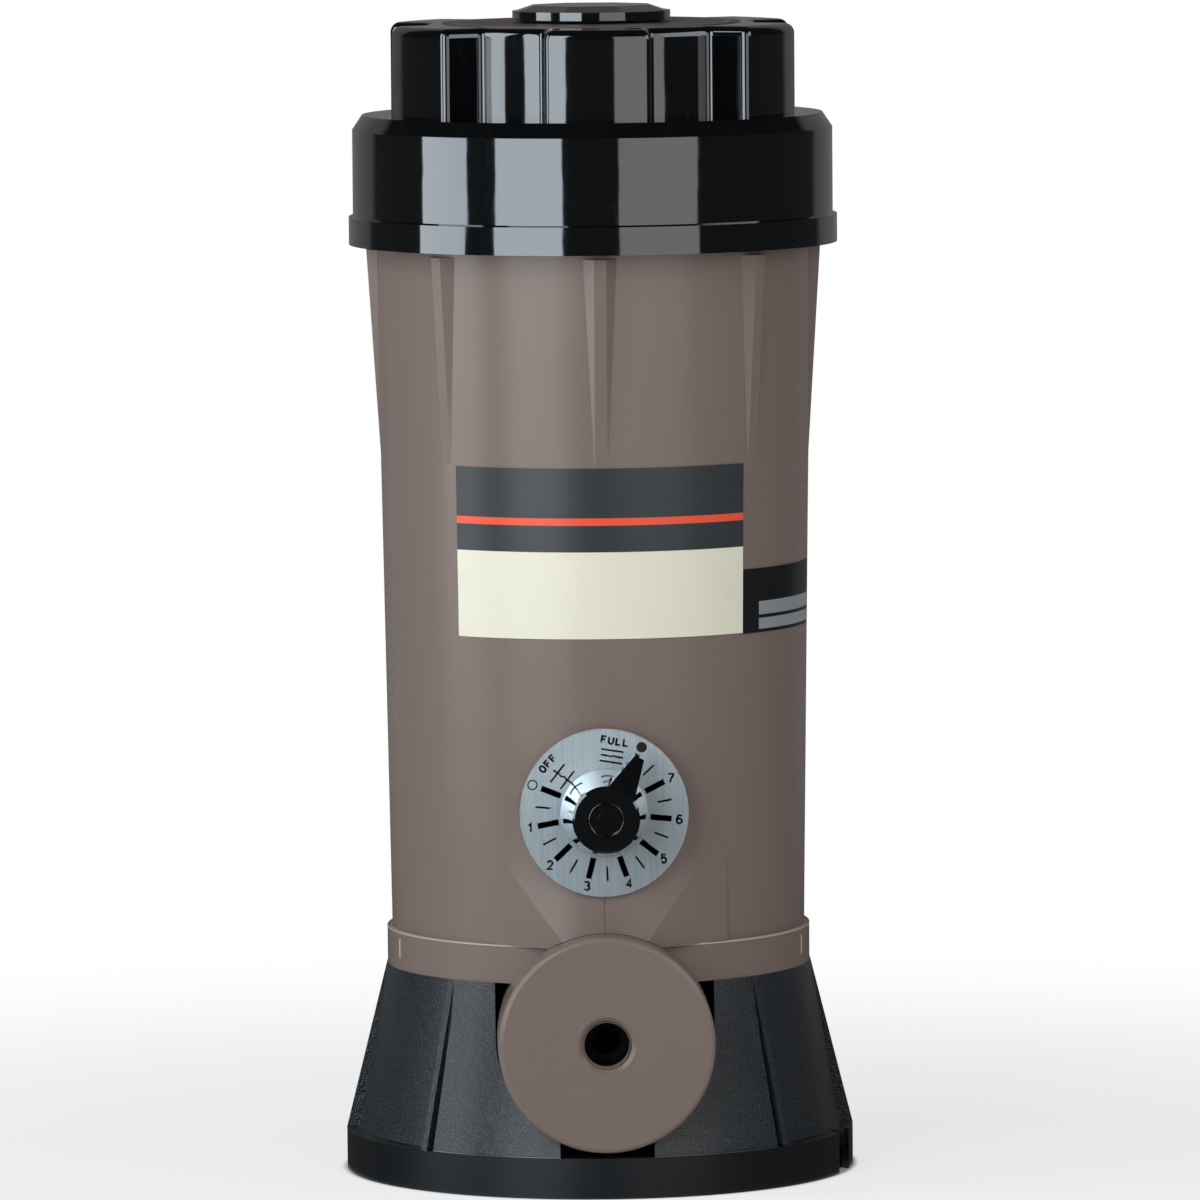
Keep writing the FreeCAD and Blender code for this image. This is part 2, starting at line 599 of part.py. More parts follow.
def make_tank():
    """The tall shell: tapered wall, threaded neck, eight ribs, dial boss and barrel fairing."""
    tank = body("tank")
    wall = outline(
        sketch(tank, "XZ_Plane"),
        [
            (s.tank_foot_inner, VESSEL_FLOOR),
            (s.socket_radius, VESSEL_FLOOR),
            (s.socket_radius, s.collar_top),
            (s.tank_foot_radius, s.collar_top),
            (s.tank_top_radius, s.tank_top),
            (s.neck_radius, s.tank_top + (s.tank_top_radius - s.neck_radius)),
            (s.neck_radius, s.neck_top - s.collar_lip),
            (s.neck_radius - s.collar_lip, s.neck_top),
            (s.mouth_radius, s.neck_top),
        ],
    )
    turned(tank, wall)

    # fairing between the wall and the barrel's end: a turned sector trimmed by two flank planes
    sunk = s.tank_foot_radius - s.rib_sink
    fairing = outline(
        sketch(tank, "YZ_Plane"),
        [
            (-sunk, s.collar_top),
            (-s.fairing_reach, s.collar_top, (-s.fairing_waist, s.fairing_middle)),
            (-tank_radius(s.fairing_top), s.fairing_top),
            (-sunk, s.fairing_top),
        ],
    )
    turned(tank, fairing, angle=s.fairing_angle * 2)
    contact = tank_radius(s.fairing_top)
    side = contact * sine(s.fairing_angle)
    front = contact * cosine(s.fairing_angle)
    apex = contact / cosine(s.fairing_angle)
    flanks = sketch(tank, "XY_Plane", s.collar_top)
    for hand in (2.0, -2.0):
        outline(flanks, [(side * hand, apex - front * 2), (0.0, -apex), (side * hand, -apex)])
    pocket(tank, flanks, s.fairing_top - s.collar_top)

    boss = circle(sketch(tank, "XZ_Plane", s.dial_face), 0.0, s.dial_height, s.dial_boss_radius)
    pad(tank, boss, s.dial_face - s.dial_boss_back, back=True)

    low = rib_section(tank, s.rib_tail, tank_radius(s.rib_tail), s.rib_tail_width)
    high = rib_section(tank, s.rib_top, s.rib_crest_radius, s.rib_root_width)
    around(tank, [loft(tank, low, high)], s.rib_count)

    root = s.neck_radius - s.thread_sink
    crest = s.neck_radius + s.thread_depth
    ridge = ridge_profile(sketch(tank, "XZ_Plane"), root, crest, s.thread_start)
    thread(tank, ridge, s.thread_turns)

    arch = circle(sketch(tank, "XZ_Plane"), 0.0, s.barrel_height, s.barrel_radius + s.arch_gap)
    pocket(tank, arch, s.end_face * 2, centred=True)
    hole = circle(
        sketch(tank, "XZ_Plane", s.dial_face),
        0.0,
        s.dial_height,
        s.bushing_radius + s.bushing_gap,
    )
    pocket(tank, hole, s.dial_face - s.outlet_distance, back=True)
    return tank


def make_lower_body():
    """Collar, vessel floor and cross barrel in one moulding."""
    lower = body("lower_body")
    socket = s.socket_radius + s.weld_gap
    collar = outline(
        sketch(lower, "XZ_Plane"),
        [
            (0.0, s.skirt_top),
            (s.collar_radius, s.skirt_top),
            (s.collar_radius, s.collar_top - s.collar_lip),
            (s.collar_radius - s.collar_lip, s.collar_top),
            (socket, s.collar_top),
            (socket, VESSEL_FLOOR),
            (0.0, VESSEL_FLOOR),
        ],
    )
    turned(lower, collar)
    barrel = circle(sketch(lower, "XZ_Plane"), 0.0, s.barrel_height, s.barrel_radius)
    pad(lower, barrel, BARREL_END * 2, centred=True)
    bosses = [
        pad(
            lower,
            circle(sketch(lower, "XY_Plane", s.lug_top, turn), s.lug_radius, 0.0, s.boss_radius),
            s.skirt_top - s.lug_top,
        )
        for turn in (s.lug_angle, -s.lug_angle)
    ]
    around(lower, bosses, 2)
    bore = circle(sketch(lower, "XZ_Plane"), 0.0, s.barrel_height, BARREL_BORE)
    pocket(lower, bore, BARREL_END * 2, centred=True)
    holes = sketch(lower, "XY_Plane", s.barrel_height)
    for i in range(3):
        circle(holes, 0.0, s.feed_hole_first + s.feed_hole_pitch * i, s.feed_hole_radius)
    circle(holes, 0.0, -s.outlet_distance, s.outlet_radius + s.tube_gap)
    pocket(lower, holes, s.collar_top)
    screws = [
        pocket(
            lower,
            circle(
                sketch(lower, "XY_Plane", s.lug_top, turn),
                s.lug_radius,
                0.0,
                s.screw_shank_radius + s.screw_gap / 2,
            ),
            s.screw_length - s.lug_thickness + s.screw_gap,
        )
        for turn in (s.lug_angle, -s.lug_angle)
    ]
    around(lower, screws, 2)
    return lower


def make_end_plate(label, with_elbow):
    """End plate of the barrel with a spigot and a half-inch port, drawn for the front."""
    plate = body(label)
    spigot = BARREL_BORE - s.weld_gap
    spigot_end = BARREL_END - s.spigot_length
    profile = outline(
        sketch(plate, "XY_Plane"),
        [
            (0.0, -s.end_face),
            (s.barrel_radius, -s.end_face),
            (s.barrel_radius, -BARREL_END),
            (spigot, -BARREL_END),
            (spigot, -spigot_end),
            (spigot - s.spigot_wall, -spigot_end),
            (spigot - s.spigot_wall, -BARREL_END),
            (s.port_boss_radius, -BARREL_END),
            (s.port_boss_radius, s.port_length - s.end_face),
            (0.0, s.port_length - s.end_face),
        ],
    )
    turned(plate, profile)
    if with_elbow:
        reach = s.outlet_distance - s.elbow_end
        run = circle(sketch(plate, "XZ_Plane", reach), 0.0, 0.0, s.elbow_run_radius)
        pad(plate, run, s.end_face - s.end_plate_thickness - reach)
        foot = sketch(plate, "XY_Plane", -s.elbow_end)
        riser = circle(foot, 0.0, -s.outlet_distance, s.elbow_socket_radius)
        pad(plate, riser, s.elbow_top - s.barrel_height + s.elbow_end)
        seat = circle(
            sketch(plate, "XY_Plane", s.elbow_seat - s.barrel_height),
            0.0,
            -s.outlet_distance,
            s.outlet_radius + s.tube_gap,
        )
        pocket(plate, seat, s.elbow_top - s.elbow_seat)
        riser_way = circle(sketch(plate, "XY_Plane"), 0.0, -s.outlet_distance, s.flow_radius)
        pocket(plate, riser_way, s.elbow_top - s.barrel_height)
        way_end = s.outlet_distance - s.elbow_way_radius
        run_way = circle(sketch(plate, "XZ_Plane", way_end), 0.0, 0.0, s.elbow_way_radius)
        pocket(plate, run_way, s.end_face - way_end)
    bore = outline(
        sketch(plate, "XY_Plane"),
        [
            (0.0, -s.end_face),
            (s.port_mouth_radius, -s.end_face),
            (s.port_radius, s.port_bevel - s.end_face),
            (s.port_radius, s.port_length - s.end_face),
            (0.0, s.port_length - s.end_face),
        ],
    )
    turned(plate, bore, "Groove")
    plate.Tip = plate.Group[-1]

    def is_rim(edge):
        on_face = all(abs(v.Y + s.end_face.value) < CORNER_TOLERANCE for v in edge.Vertexes)
        round_edge = isinstance(edge.Curve, Part.Circle)
        return on_face and round_edge and abs(edge.Curve.Radius - s.barrel_radius.value) < 0.01

    dressed(plate, "Fillet", edges_where(plate, is_rim), "Radius", s.end_round)
    turn = Rotation(Vector(0, 0, 1), 0 if with_elbow else 180)
    plate.Placement = Placement(Vector(0, 0, s.barrel_height.value), turn)
    bind(plate, "Placement.Base.z", s.barrel_height)
    return plate


def channel(skirt, radius, top, turn):
    """A round upright over the ring, centred on a screw channel's axis."""
    foot = sketch(skirt, "XY_Plane", s.ring_height, turn)
    return circle(foot, s.channel_distance, 0.0, radius), top - s.ring_height


def make_base_skirt():
    """Conical skirt with fins, barrel openings, screw channels and a plain ring at its foot."""
    skirt = body("base_skirt")
    inner_foot = s.skirt_foot_radius - s.skirt_wall
    wall = outline(
        sketch(skirt, "XZ_Plane"),
        [
            (s.ring_radius - s.ring_wall, 0.0),
            (s.ring_radius, 0.0),
            (s.ring_radius, s.ring_height),
            (s.skirt_foot_radius, s.ring_height),
            (s.skirt_top_radius, s.skirt_top),
            (s.skirt_top_radius - s.skirt_wall, s.skirt_top),
            (inner_foot, s.ring_height),
            (inner_foot, s.ring_height - s.ring_wall),
            (s.ring_radius - s.ring_wall, s.ring_height - s.ring_wall),
        ],
    )
    turned(skirt, wall)

    # screwdriver channels: the wall behind each, then the channel itself
    sides = (-s.notch_angle, -s.notch_angle + 180)
    for turn in sides:
        back_radius = s.channel_radius + s.channel_wall
        pad(skirt, *channel(skirt, back_radius, s.channel_top + s.channel_wall, turn))
    outside = outline(
        sketch(skirt, "XZ_Plane"),
        [
            (s.skirt_foot_radius, s.ring_height),
            (s.skirt_foot_radius * 2, s.ring_height),
            (s.skirt_foot_radius * 2, s.skirt_top),
            (s.skirt_top_radius, s.skirt_top),
        ],
    )
    turned(skirt, outside, "Groove")
    for turn in sides:
        pocket(skirt, *channel(skirt, s.channel_radius, s.channel_top, turn), back=True)

    fin = outline(
        sketch(skirt, "XZ_Plane"),
        [
            (s.skirt_top_radius - s.skirt_wall / 2, s.skirt_top),
            (s.skirt_top_radius, s.skirt_top),
            (s.ring_radius, s.ring_height),
            (inner_foot, s.ring_height),
        ],
    )
    fins = pad(skirt, fin, s.fin_width, centred=True)
    around(skirt, [fins], sized(360.0) / s.fin_angle)
    panel = outline(
        sketch(skirt, "YZ_Plane"),
        [
            (s.skirt_wall / 2 - s.skirt_top_radius, s.skirt_top),
            (-s.panel_top_radius, s.skirt_top),
            (-s.panel_foot_radius, s.ring_height),
            (-inner_foot, s.ring_height),
        ],
    )
    around(skirt, [turned(skirt, panel, angle=s.panel_angle)], 2)

    # floor and notch of each screw channel
    half_notch = s.notch_width / 2
    for turn in sides:
        foot = sketch(skirt, "XY_Plane", s.ring_height, turn)
        back = s.ring_radius - s.notch_depth - s.ring_wall
        box_outline(
            foot, back, s.ring_radius - s.ring_wall / 2, -s.channel_radius, s.channel_radius
        )
        pad(skirt, foot, s.foot_pad_thickness, back=True)
        notch = sketch(skirt, "XY_Plane", 0.0, turn)
        box_outline(
            notch, s.ring_radius - s.notch_depth, s.ring_radius * 1.1, -half_notch, half_notch
        )
        pocket(skirt, notch, s.ring_height)

    lugs = []
    for turn in (s.lug_angle, -s.lug_angle):
        lug = sketch(skirt, "XY_Plane", s.lug_top, turn)
        half = s.lug_width / 2
        outer = skirt_radius(s.lug_top) - s.skirt_wall / 2
        box_outline(lug, s.lug_radius - half, outer, -half, half)
        circle(lug, s.lug_radius, 0.0, s.screw_shank_radius + s.screw_gap)
        lugs.append(pad(skirt, lug, s.lug_thickness, back=True))
    around(skirt, lugs, 2)

    # an opening for each end of the barrel
    reach = s.barrel_radius + s.opening_gap
    half_slot = s.drain_slot_width / 2
    opening = sketch(skirt, "XZ_Plane")
    circle(opening, 0.0, s.barrel_height, reach)
    pocket(skirt, opening, s.ring_radius * 2, centred=True)
    upper = box_outline(
        sketch(skirt, "XZ_Plane"), -reach, reach, s.barrel_height, s.skirt_top + s.opening_gap
    )
    pocket(skirt, upper, s.ring_radius * 2, centred=True)
    drain = box_outline(
        sketch(skirt, "XZ_Plane"), -half_slot, half_slot, s.ring_height, s.barrel_height
    )
    pocket(skirt, drain, s.ring_radius * 2, centred=True)
    return skirt


def make_base_screws():
    """Four screws that hold the skirt's lugs to the lower body's bosses, heads down."""
    screws = body("base_screws")
    seat = s.lug_top - s.lug_thickness
    made = []
    for turn in (s.lug_angle, -s.lug_angle):
        head = circle(
            sketch(screws, "XY_Plane", seat, turn), s.lug_radius, 0.0, s.screw_head_radius
        )
        made.append(pad(screws, head, s.screw_head_thickness, back=True))
        shank = circle(
            sketch(screws, "XY_Plane", seat, turn), s.lug_radius, 0.0, s.screw_shank_radius
        )
        made.append(pad(screws, shank, s.screw_length))
    around(screws, made, 2)
    return screws


def make_dial_plate():
    """Flat round dial plate."""
    plate = at_dial(body("dial_plate"))
    face = sketch(plate, "XZ_Plane", s.dial_face)
    circle(face, 0.0, 0.0, s.dial_radius)
    circle(face, 0.0, 0.0, s.bushing_radius + s.bushing_gap)
    pad(plate, face, s.dial_thickness)
    return plate


def make_valve_nut():
    """Six-sided nut that clamps the dial plate and the valve to the tank."""
    nut = at_dial(body("valve_nut"))
    corner = s.nut_flats / 2 / cosine(sized(180.0) / NUT_SIDES)
    half = corner / 2
    flat = s.nut_flats / 2
    face = sketch(nut, "XZ_Plane", PLATE_FACE)
    outline(
        face,
        [(corner, 0.0), (half, flat), (-half, flat), (-corner, 0.0), (-half, -flat), (half, -flat)],
    )
    circle(face, 0.0, 0.0, s.bushing_radius + s.weld_gap)
    pad(nut, face, s.nut_thickness)
    return nut


def make_valve_gasket():
    """Flat washer between the tank's inner pad and the valve's shoulder."""
    gasket = at_dial(body("valve_gasket"))
    face = sketch(gasket, "XZ_Plane", GASKET_BACK)
    circle(face, 0.0, 0.0, s.gasket_radius)
    circle(face, 0.0, 0.0, s.bushing_radius + s.bushing_gap)
    pad(gasket, face, s.gasket_thickness)
    return gasket


def make_valve_body():
    """Bushing, shoulder and chamber of the valve, with an inlet above and an outlet below."""
    valve = at_dial(body("valve_body"))
    profile = outline(
        sketch(valve, "XY_Plane"),
        [
            (0.0, -BUSHING_END),
            (s.bushing_radius, -BUSHING_END),
            (s.bushing_radius, -GASKET_BACK),
            (s.gasket_radius, -GASKET_BACK),
            (s.gasket_radius, -SHOULDER_BACK),
            (s.chamber_radius, -SHOULDER_BACK),
            (s.chamber_radius, -CHAMBER_END),
            (0.0, -CHAMBER_END),
        ],
    )
    turned(valve, profile)
    outlet = circle(sketch(valve, "XY_Plane"), 0.0, -s.outlet_distance, s.outlet_spigot_radius)
    pad(valve, outlet, s.dial_height - s.outlet_mouth, back=True)
    bore = s.rotor_radius + s.rotor_gap
    stem = s.stem_radius + s.rotor_gap
    inside = outline(
        sketch(valve, "XY_Plane"),
        [
            (0.0, -BUSHING_END),
            (s.gland_radius, -BUSHING_END),
            (s.gland_radius, s.gland_depth - BUSHING_END),
            (stem, s.gland_depth - BUSHING_END),
            (stem, -SHOULDER_BACK),
            (bore, -SHOULDER_BACK),
            (bore, -CHAMBER_END),
            (0.0, -CHAMBER_END),
        ],
    )
    turned(valve, inside, "Groove")
    way = circle(sketch(valve, "XY_Plane"), 0.0, -s.outlet_distance, s.flow_radius)
    pocket(valve, way, s.outlet_mouth, centred=True)
    seat = circle(
        sketch(valve, "XY_Plane", s.outlet_seat - s.dial_height),
        0.0,
        -s.outlet_distance,
        s.outlet_radius + s.tube_gap,
    )
    pocket(valve, seat, s.outlet_seat - s.outlet_mouth, back=True)
    return valve


def make_valve_rotor():
    """Rotor and stem in one, with a cross hole that lines up with the outlet when open."""
    rotor = at_dial(body("valve_rotor"))
    profile = outline(
        sketch(rotor, "XY_Plane"),
        [
            (0.0, -STEM_END),
            (s.stem_radius, -STEM_END),
            (s.stem_radius, -(SHOULDER_BACK - s.rotor_play)),
            (s.rotor_radius, -(SHOULDER_BACK - s.rotor_play)),
            (s.rotor_radius, -ROTOR_END),
            (0.0, -ROTOR_END),
        ],
    )
    turned(rotor, profile)
    way = circle(sketch(rotor, "XY_Plane"), 0.0, -s.outlet_distance, s.flow_radius)
    pocket(rotor, way, s.rotor_radius * 4, centred=True)
    hole = circle(
        sketch(rotor, "XZ_Plane", STEM_END), 0.0, 0.0, s.knob_screw_radius + s.knob_screw_gap
    )
    pocket(rotor, hole, s.knob_screw_length, back=True)
    return rotor


def ring_profile(owner, sk, radius, height, section):
    circle(sk, radius, height, section)
    return turned(owner, sk)


def make_stem_rings():
    """Two O-rings on the rotor's stem."""
    rings = at_dial(body("stem_o_rings"))
    radius = s.stem_radius + s.rotor_gap + s.stem_ring_radius
    middle = BUSHING_END - s.gland_depth / 2
    for side in (0.5, -0.5):
        distance = middle + s.stem_ring_pitch * side
        ring_profile(rings, sketch(rings, "XY_Plane"), radius, -distance, s.stem_ring_radius)
    return rings


def make_outlet_tube():
    """Straight tube from the valve's outlet down to the elbow on the front end plate."""
    tube = body("outlet_tube")
    section = sketch(tube, "XY_Plane", s.elbow_seat)
    circle(section, 0.0, -s.outlet_distance, s.outlet_radius)
    circle(section, 0.0, -s.outlet_distance, s.flow_radius)
    pad(tube, section, s.outlet_seat - s.elbow_seat)
    return tube


def make_tablet_grate():
    """Slotted disc on four legs that holds the tablets above the valve."""
    grate = body("tablet_grate")
    disc = circle(sketch(grate, "XY_Plane", s.grate_height), 0.0, 0.0, s.grate_radius)
    pad(grate, disc, s.grate_thickness)
    legs = sketch(grate, "XY_Plane", VESSEL_FLOOR)
    for x in (1.0, -1.0):
        for y in (1.0, -1.0):
            circle(legs, s.grate_leg_x * x, s.grate_leg_y * y, s.grate_leg_radius)
    pad(grate, legs, s.grate_height - VESSEL_FLOOR)
    slot = sketch(grate, "XY_Plane", s.grate_height)
    half = s.grate_slot_width / 2
    inner_end = s.grate_slot_inner + s.grate_slot_length
    outer_start = inner_end + s.grate_slot_web
    box_outline(slot, s.grate_slot_inner, inner_end, -half, half)
    box_outline(slot, outer_start, outer_start + s.grate_slot_length, -half, half)
    around(grate, [pocket(grate, slot, s.grate_thickness)], s.grate_slot_count)
    return grate


def make_dial_knob():
    """Black knob with a dished face and a tapered pointer, drawn with the pointer along +X."""
    knob = at_pointer(body("dial_knob"))
    back = BUSHING_END + s.knob_back_gap
    core = s.knob_face_radius - s.cone_wall - s.pointer_slot_gap
    lip = KNOB_FACE - s.cone_lip
    profile = outline(
        sketch(knob, "XY_Plane"),
        [
            (0.0, -DISH_FLOOR),
            (s.knob_dish_radius - s.knob_dish_depth / 2, -DISH_FLOOR),
            (s.knob_dish_radius, -KNOB_FACE),
            (s.knob_face_radius - s.cone_wall, -KNOB_FACE),
            (s.knob_face_radius, -(KNOB_FACE - s.cone_wall)),
            (s.knob_face_radius, -lip),
            (core, -lip),
            (core, -back),
            (0.0, -back),
        ],
    )
    turned(knob, profile)
    under = PLATE_FACE + s.pointer_underside
    wing = outline(
        sketch(knob, "XY_Plane"),
        [
            (s.knob_dish_radius, -under),
            (s.pointer_length, -under),
            (s.pointer_length, -(under + s.pointer_tip_height)),
            (s.knob_face_radius - s.cone_wall, -KNOB_FACE),
            (s.knob_dish_radius, -KNOB_FACE),
        ],
    )
    pad(knob, wing, s.pointer_root_width, centred=True)
    tip = s.pointer_tip_width / 2
    root = s.pointer_root_width / 2
    taper = sketch(knob, "XZ_Plane", under)
    for hand in (1.0, -1.0):
        outline(
            taper,
            [
                (s.knob_face_radius - s.cone_wall, root * hand),
                (s.pointer_length, tip * hand),
                (s.pointer_length * 1.1, tip * hand),
                (s.pointer_length * 1.1, root * hand * 1.1),
                (s.knob_face_radius - s.cone_wall, root * hand * 1.1),
            ],
        )
    pocket(knob, taper, s.knob_reach)
    stem = circle(sketch(knob, "XZ_Plane", back), 0.0, 0.0, s.stem_radius + s.weld_gap)
    pocket(knob, stem, STEM_END - back)
    hole = circle(sketch(knob, "XZ_Plane", back), 0.0, 0.0, s.knob_screw_radius + s.knob_screw_gap)
    pocket(knob, hole, s.knob_reach)
    return knob


def make_knob_skirt():
    """Bright conical skirt round the knob, slotted for the pointer."""
    skirt = at_pointer(body("knob_skirt"))
    foot = PLATE_FACE + s.cone_play
    lip = KNOB_FACE - s.cone_lip
    top = s.knob_face_radius
    profile = outline(
        sketch(skirt, "XY_Plane"),
        [
            (s.cone_foot_radius, -foot),
            (top, -lip),
            (top - s.cone_wall, -lip),
            (s.cone_foot_radius - s.cone_wall, -foot),
        ],
    )
    turned(skirt, profile)
    half = s.pointer_root_width / 2 + s.pointer_slot_gap
    under = PLATE_FACE + s.pointer_underside - s.pointer_slot_gap
    slot = box_outline(
        sketch(skirt, "XZ_Plane", under), s.knob_dish_radius, s.cone_foot_radius, -half, half
    )
    pocket(skirt, slot, s.knob_reach)
    return skirt


def make_knob_screw():
    """Round-headed screw in the knob's dish."""
    screw = at_pointer(body("knob_screw"))
    head = circle(sketch(screw, "XZ_Plane", DISH_FLOOR), 0.0, 0.0, s.knob_screw_head)
    pad(screw, head, s.knob_screw_head_thickness)
    shank = circle(sketch(screw, "XZ_Plane", DISH_FLOOR), 0.0, 0.0, s.knob_screw_radius)
    pad(screw, shank, s.knob_screw_length, back=True)
    return screw


def make_label(label, bottom, top, angle, centre):
    """Thin label wrapped round the tank's tapered wall."""
    made = body(label)
    inner = [tank_radius(height) + s.label_gap for height in (bottom, top)]
    outer = [radius + s.label_thickness for radius in inner]
    profile = outline(
        sketch(made, "YZ_Plane"),
        [(-inner[0], bottom), (-outer[0], bottom), (-outer[1], top), (-inner[1], top)],
    )
    turned(made, profile, angle=angle)
    made.Placement = Placement(Vector(), Rotation(Vector(0, 0, 1), sized(centre).value))
    if isinstance(centre, Size):
        bind(made, "Placement.Rotation.Angle", centre)
    return made


def make_cap():
    """Screw cap: banded ring, six hollow lobes, internal thread and O-ring groove."""
    cap = body("cap")
    outer = outline(
        sketch(cap, "XZ_Plane"),
        [
            (0.0, s.cap_underside),
            (s.cap_bore, s.cap_underside),
            (s.cap_bore, s.cap_bottom + s.cap_band_step),
            (s.cap_bore + s.cap_band_step, s.cap_bottom),
            (s.cap_band_radius, s.cap_bottom),
            (s.cap_band_radius, s.cap_band_top),
            (s.cap_ring_radius, s.cap_band_top + s.cap_band_step),
            (s.cap_ring_radius, s.cap_ring_top),
            (s.cap_ring_radius - s.cap_bevel, s.cap_shoulder),
            (s.cap_floor_radius, s.cap_shoulder),
            (s.cap_floor_radius, s.lobe_top),
            (0.0, s.lobe_top),
        ],
    )
    turned(cap, outer)
    half = s.lobe_width / 2
    bar = box_outline(
        sketch(cap, "XY_Plane", s.cap_shoulder), -half, half, -s.cap_ring_radius, s.cap_ring_radius
    )
    bars = pad(cap, bar, s.lobe_top - s.cap_shoulder)
    around(cap, [bars], s.lobe_count / 2, angle=180.0 * 2 / 3)
    trim = outline(
        sketch(cap, "XZ_Plane"),
        [
            (s.lobe_radius, s.cap_shoulder),
            (s.lobe_radius * 2, s.cap_shoulder),
            (s.lobe_radius * 2, s.lobe_top * 1.1),
            (s.lobe_radius, s.lobe_top * 1.1),
        ],
    )
    turned(cap, trim, "Groove")
    low = s.cap_shoulder.value
    high = s.lobe_top.value
    inner = s.cap_floor_radius.value - 1.0

    def is_upright(edge):
        ends = sorted(v.Z for v in edge.Vertexes)
        spans = len(ends) == 2 and abs(ends[0] - low) < 0.01 and abs(ends[1] - high) < 0.01
        return spans and math.hypot(edge.Vertexes[0].X, edge.Vertexes[0].Y) > inner

    cap.Tip = cap.Group[-1]
    dressed(cap, "Fillet", edges_where(cap, is_upright), "Radius", s.lobe_side_round)

    def is_top(edge):
        return all(abs(v.Z - high) < 0.01 for v in edge.Vertexes)

    dressed(cap, "Fillet", edges_where(cap, is_top), "Radius", s.lobe_top_round)

    # hollow of the top: a round well and a pocket behind each lobe
    well = circle(
        sketch(cap, "XY_Plane", s.cap_underside), 0.0, 0.0, s.cap_floor_radius - s.cap_wall
    )
    pocket(cap, well, CAP_CEILING - s.cap_underside)
    half_pocket = half - s.cap_wall
    reach = s.lobe_radius - s.cap_wall - s.lobe_side_round / 2
    hollow = box_outline(
        sketch(cap, "XY_Plane", s.cap_underside), -half_pocket, half_pocket, -reach, reach
    )
    hollows = pocket(cap, hollow, CAP_CEILING - s.cap_underside)
    around(cap, [hollows], s.lobe_count / 2, angle=180.0 * 2 / 3)

    half_groove = s.cap_seal_section + s.cap_seal_gap
    groove = box_outline(
        sketch(cap, "XZ_Plane"),
        s.cap_ring_seal_radius - half_groove,
        s.cap_ring_seal_radius + half_groove,
        s.cap_underside,
        SEAL_HEIGHT + half_groove,
    )
    turned(cap, groove, "Groove")
    stud = circle(
        sketch(cap, "XY_Plane", CAP_CEILING), 0.0, 0.0, s.hub_stud_radius + s.hub_gap
    )
    pocket(cap, stud, s.cap_wall * 2)
    ridge = ridge_profile(
        sketch(cap, "XZ_Plane"),
        s.cap_bore + s.thread_sink,
        s.cap_bore - s.thread_depth,
        s.thread_start - s.thread_pitch / 2,
    )
    thread(cap, ridge, s.thread_turns)
    return cap


def make_cap_seal():
    """O-ring in the cap's groove, over the rim of the tank's mouth."""
    seal = body("cap_o_ring")
    ring_profile(
        seal, sketch(seal, "XZ_Plane"), s.cap_ring_seal_radius, SEAL_HEIGHT, s.cap_seal_section
    )
    return seal


def make_cap_hub():
    """Round-rimmed hub with an eight-sided bevelled top, held by a stud in the cap."""
    hub = body("cap_hub")
    seat = s.lobe_top + s.cap_label_thickness
    profile = outline(
        sketch(hub, "XZ_Plane"),
        [
            (0.0, seat - s.hub_stud_length),
            (s.hub_stud_radius, seat - s.hub_stud_length),
            (s.hub_stud_radius, seat),
            (s.hub_root_radius, seat),
            (s.hub_radius, s.hub_rim_bottom),
            (s.hub_radius, s.hub_rim_top),
            (0.0, s.hub_rim_top),
        ],
    )
    turned(hub, profile)

    def octagon(height, half_flat):
        corner = half_flat * tangent(sized(180.0) / HUB_SIDES)
        made = sketch(hub, "XY_Plane", height)
        return outline(
            made,
            [
                (-corner, -half_flat),
                (corner, -half_flat),
                (half_flat, -corner),
                (half_flat, corner),
                (corner, half_flat),
                (-corner, half_flat),
                (-half_flat, corner),
                (-half_flat, -corner),
            ],
        )

    rim_half = s.hub_radius * cosine(sized(180.0) / HUB_SIDES)
    loft(hub, octagon(s.hub_rim_top, rim_half), octagon(s.hub_top, s.hub_flat / 2))
    return hub


def make_cap_label():
    """Bare ring label on the cap's top, under the hub's rim."""
    made = body("cap_label")
    ring = sketch(made, "XY_Plane", s.lobe_top)
    circle(ring, 0.0, 0.0, s.cap_label_radius)
    circle(ring, 0.0, 0.0, s.hub_stud_radius + s.hub_gap)
    pad(made, ring, s.cap_label_thickness)
    return made


nodes = [
    make_tank(),
    make_lower_body(),
    make_end_plate("front_end_plate", with_elbow=True),
    make_end_plate("rear_end_plate", with_elbow=False),
    make_base_skirt(),
    make_base_screws(),
    make_dial_plate(),
    make_valve_nut(),
    make_valve_gasket(),
    make_valve_body(),
    make_valve_rotor(),
    make_stem_rings(),
    make_outlet_tube(),
    make_tablet_grate(),
    make_dial_knob(),
    make_knob_skirt(),
    make_knob_screw(),
    make_label(
        "main_label", s.main_label_bottom, s.main_label_top, s.main_label_angle, 0.0
    ),
    make_label(
        "side_label",
        s.side_label_bottom,
        s.side_label_top,
        s.side_label_angle,
        s.side_label_centre,
    ),
    make_cap(),
    make_cap_seal(),
    make_cap_hub(),
    make_cap_label(),
]

doc.recompute()
failed = [o.Label for o in doc.Objects if "Invalid" in o.State or "Error" in o.State]
if failed:
    raise RuntimeError(f"these objects failed: {failed}")
os.makedirs("parts", exist_ok=True)
for node in nodes:
    shape = node.Shape
    if shape.isNull() or not shape.isValid() or not shape.Solids:
        raise RuntimeError(f"{node.Label} has no valid solid")
    shape.exportStep(f"parts/{node.Label}.step")
    print(f"{node.Label}: {len(shape.Solids)} solid(s), {shape.Volume / 1000:.2f} cm3")
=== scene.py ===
"""Looks for the off-line chlorine feeder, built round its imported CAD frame.

Everything is in metres in the frame of the CAD part: origin on the floor under the tank, +Z up, the
dial and the front port face -Y. Each operator makes one group of pieces or gives one group of CAD
nodes its finish, and the stage has an operator of its own.
"""

import math

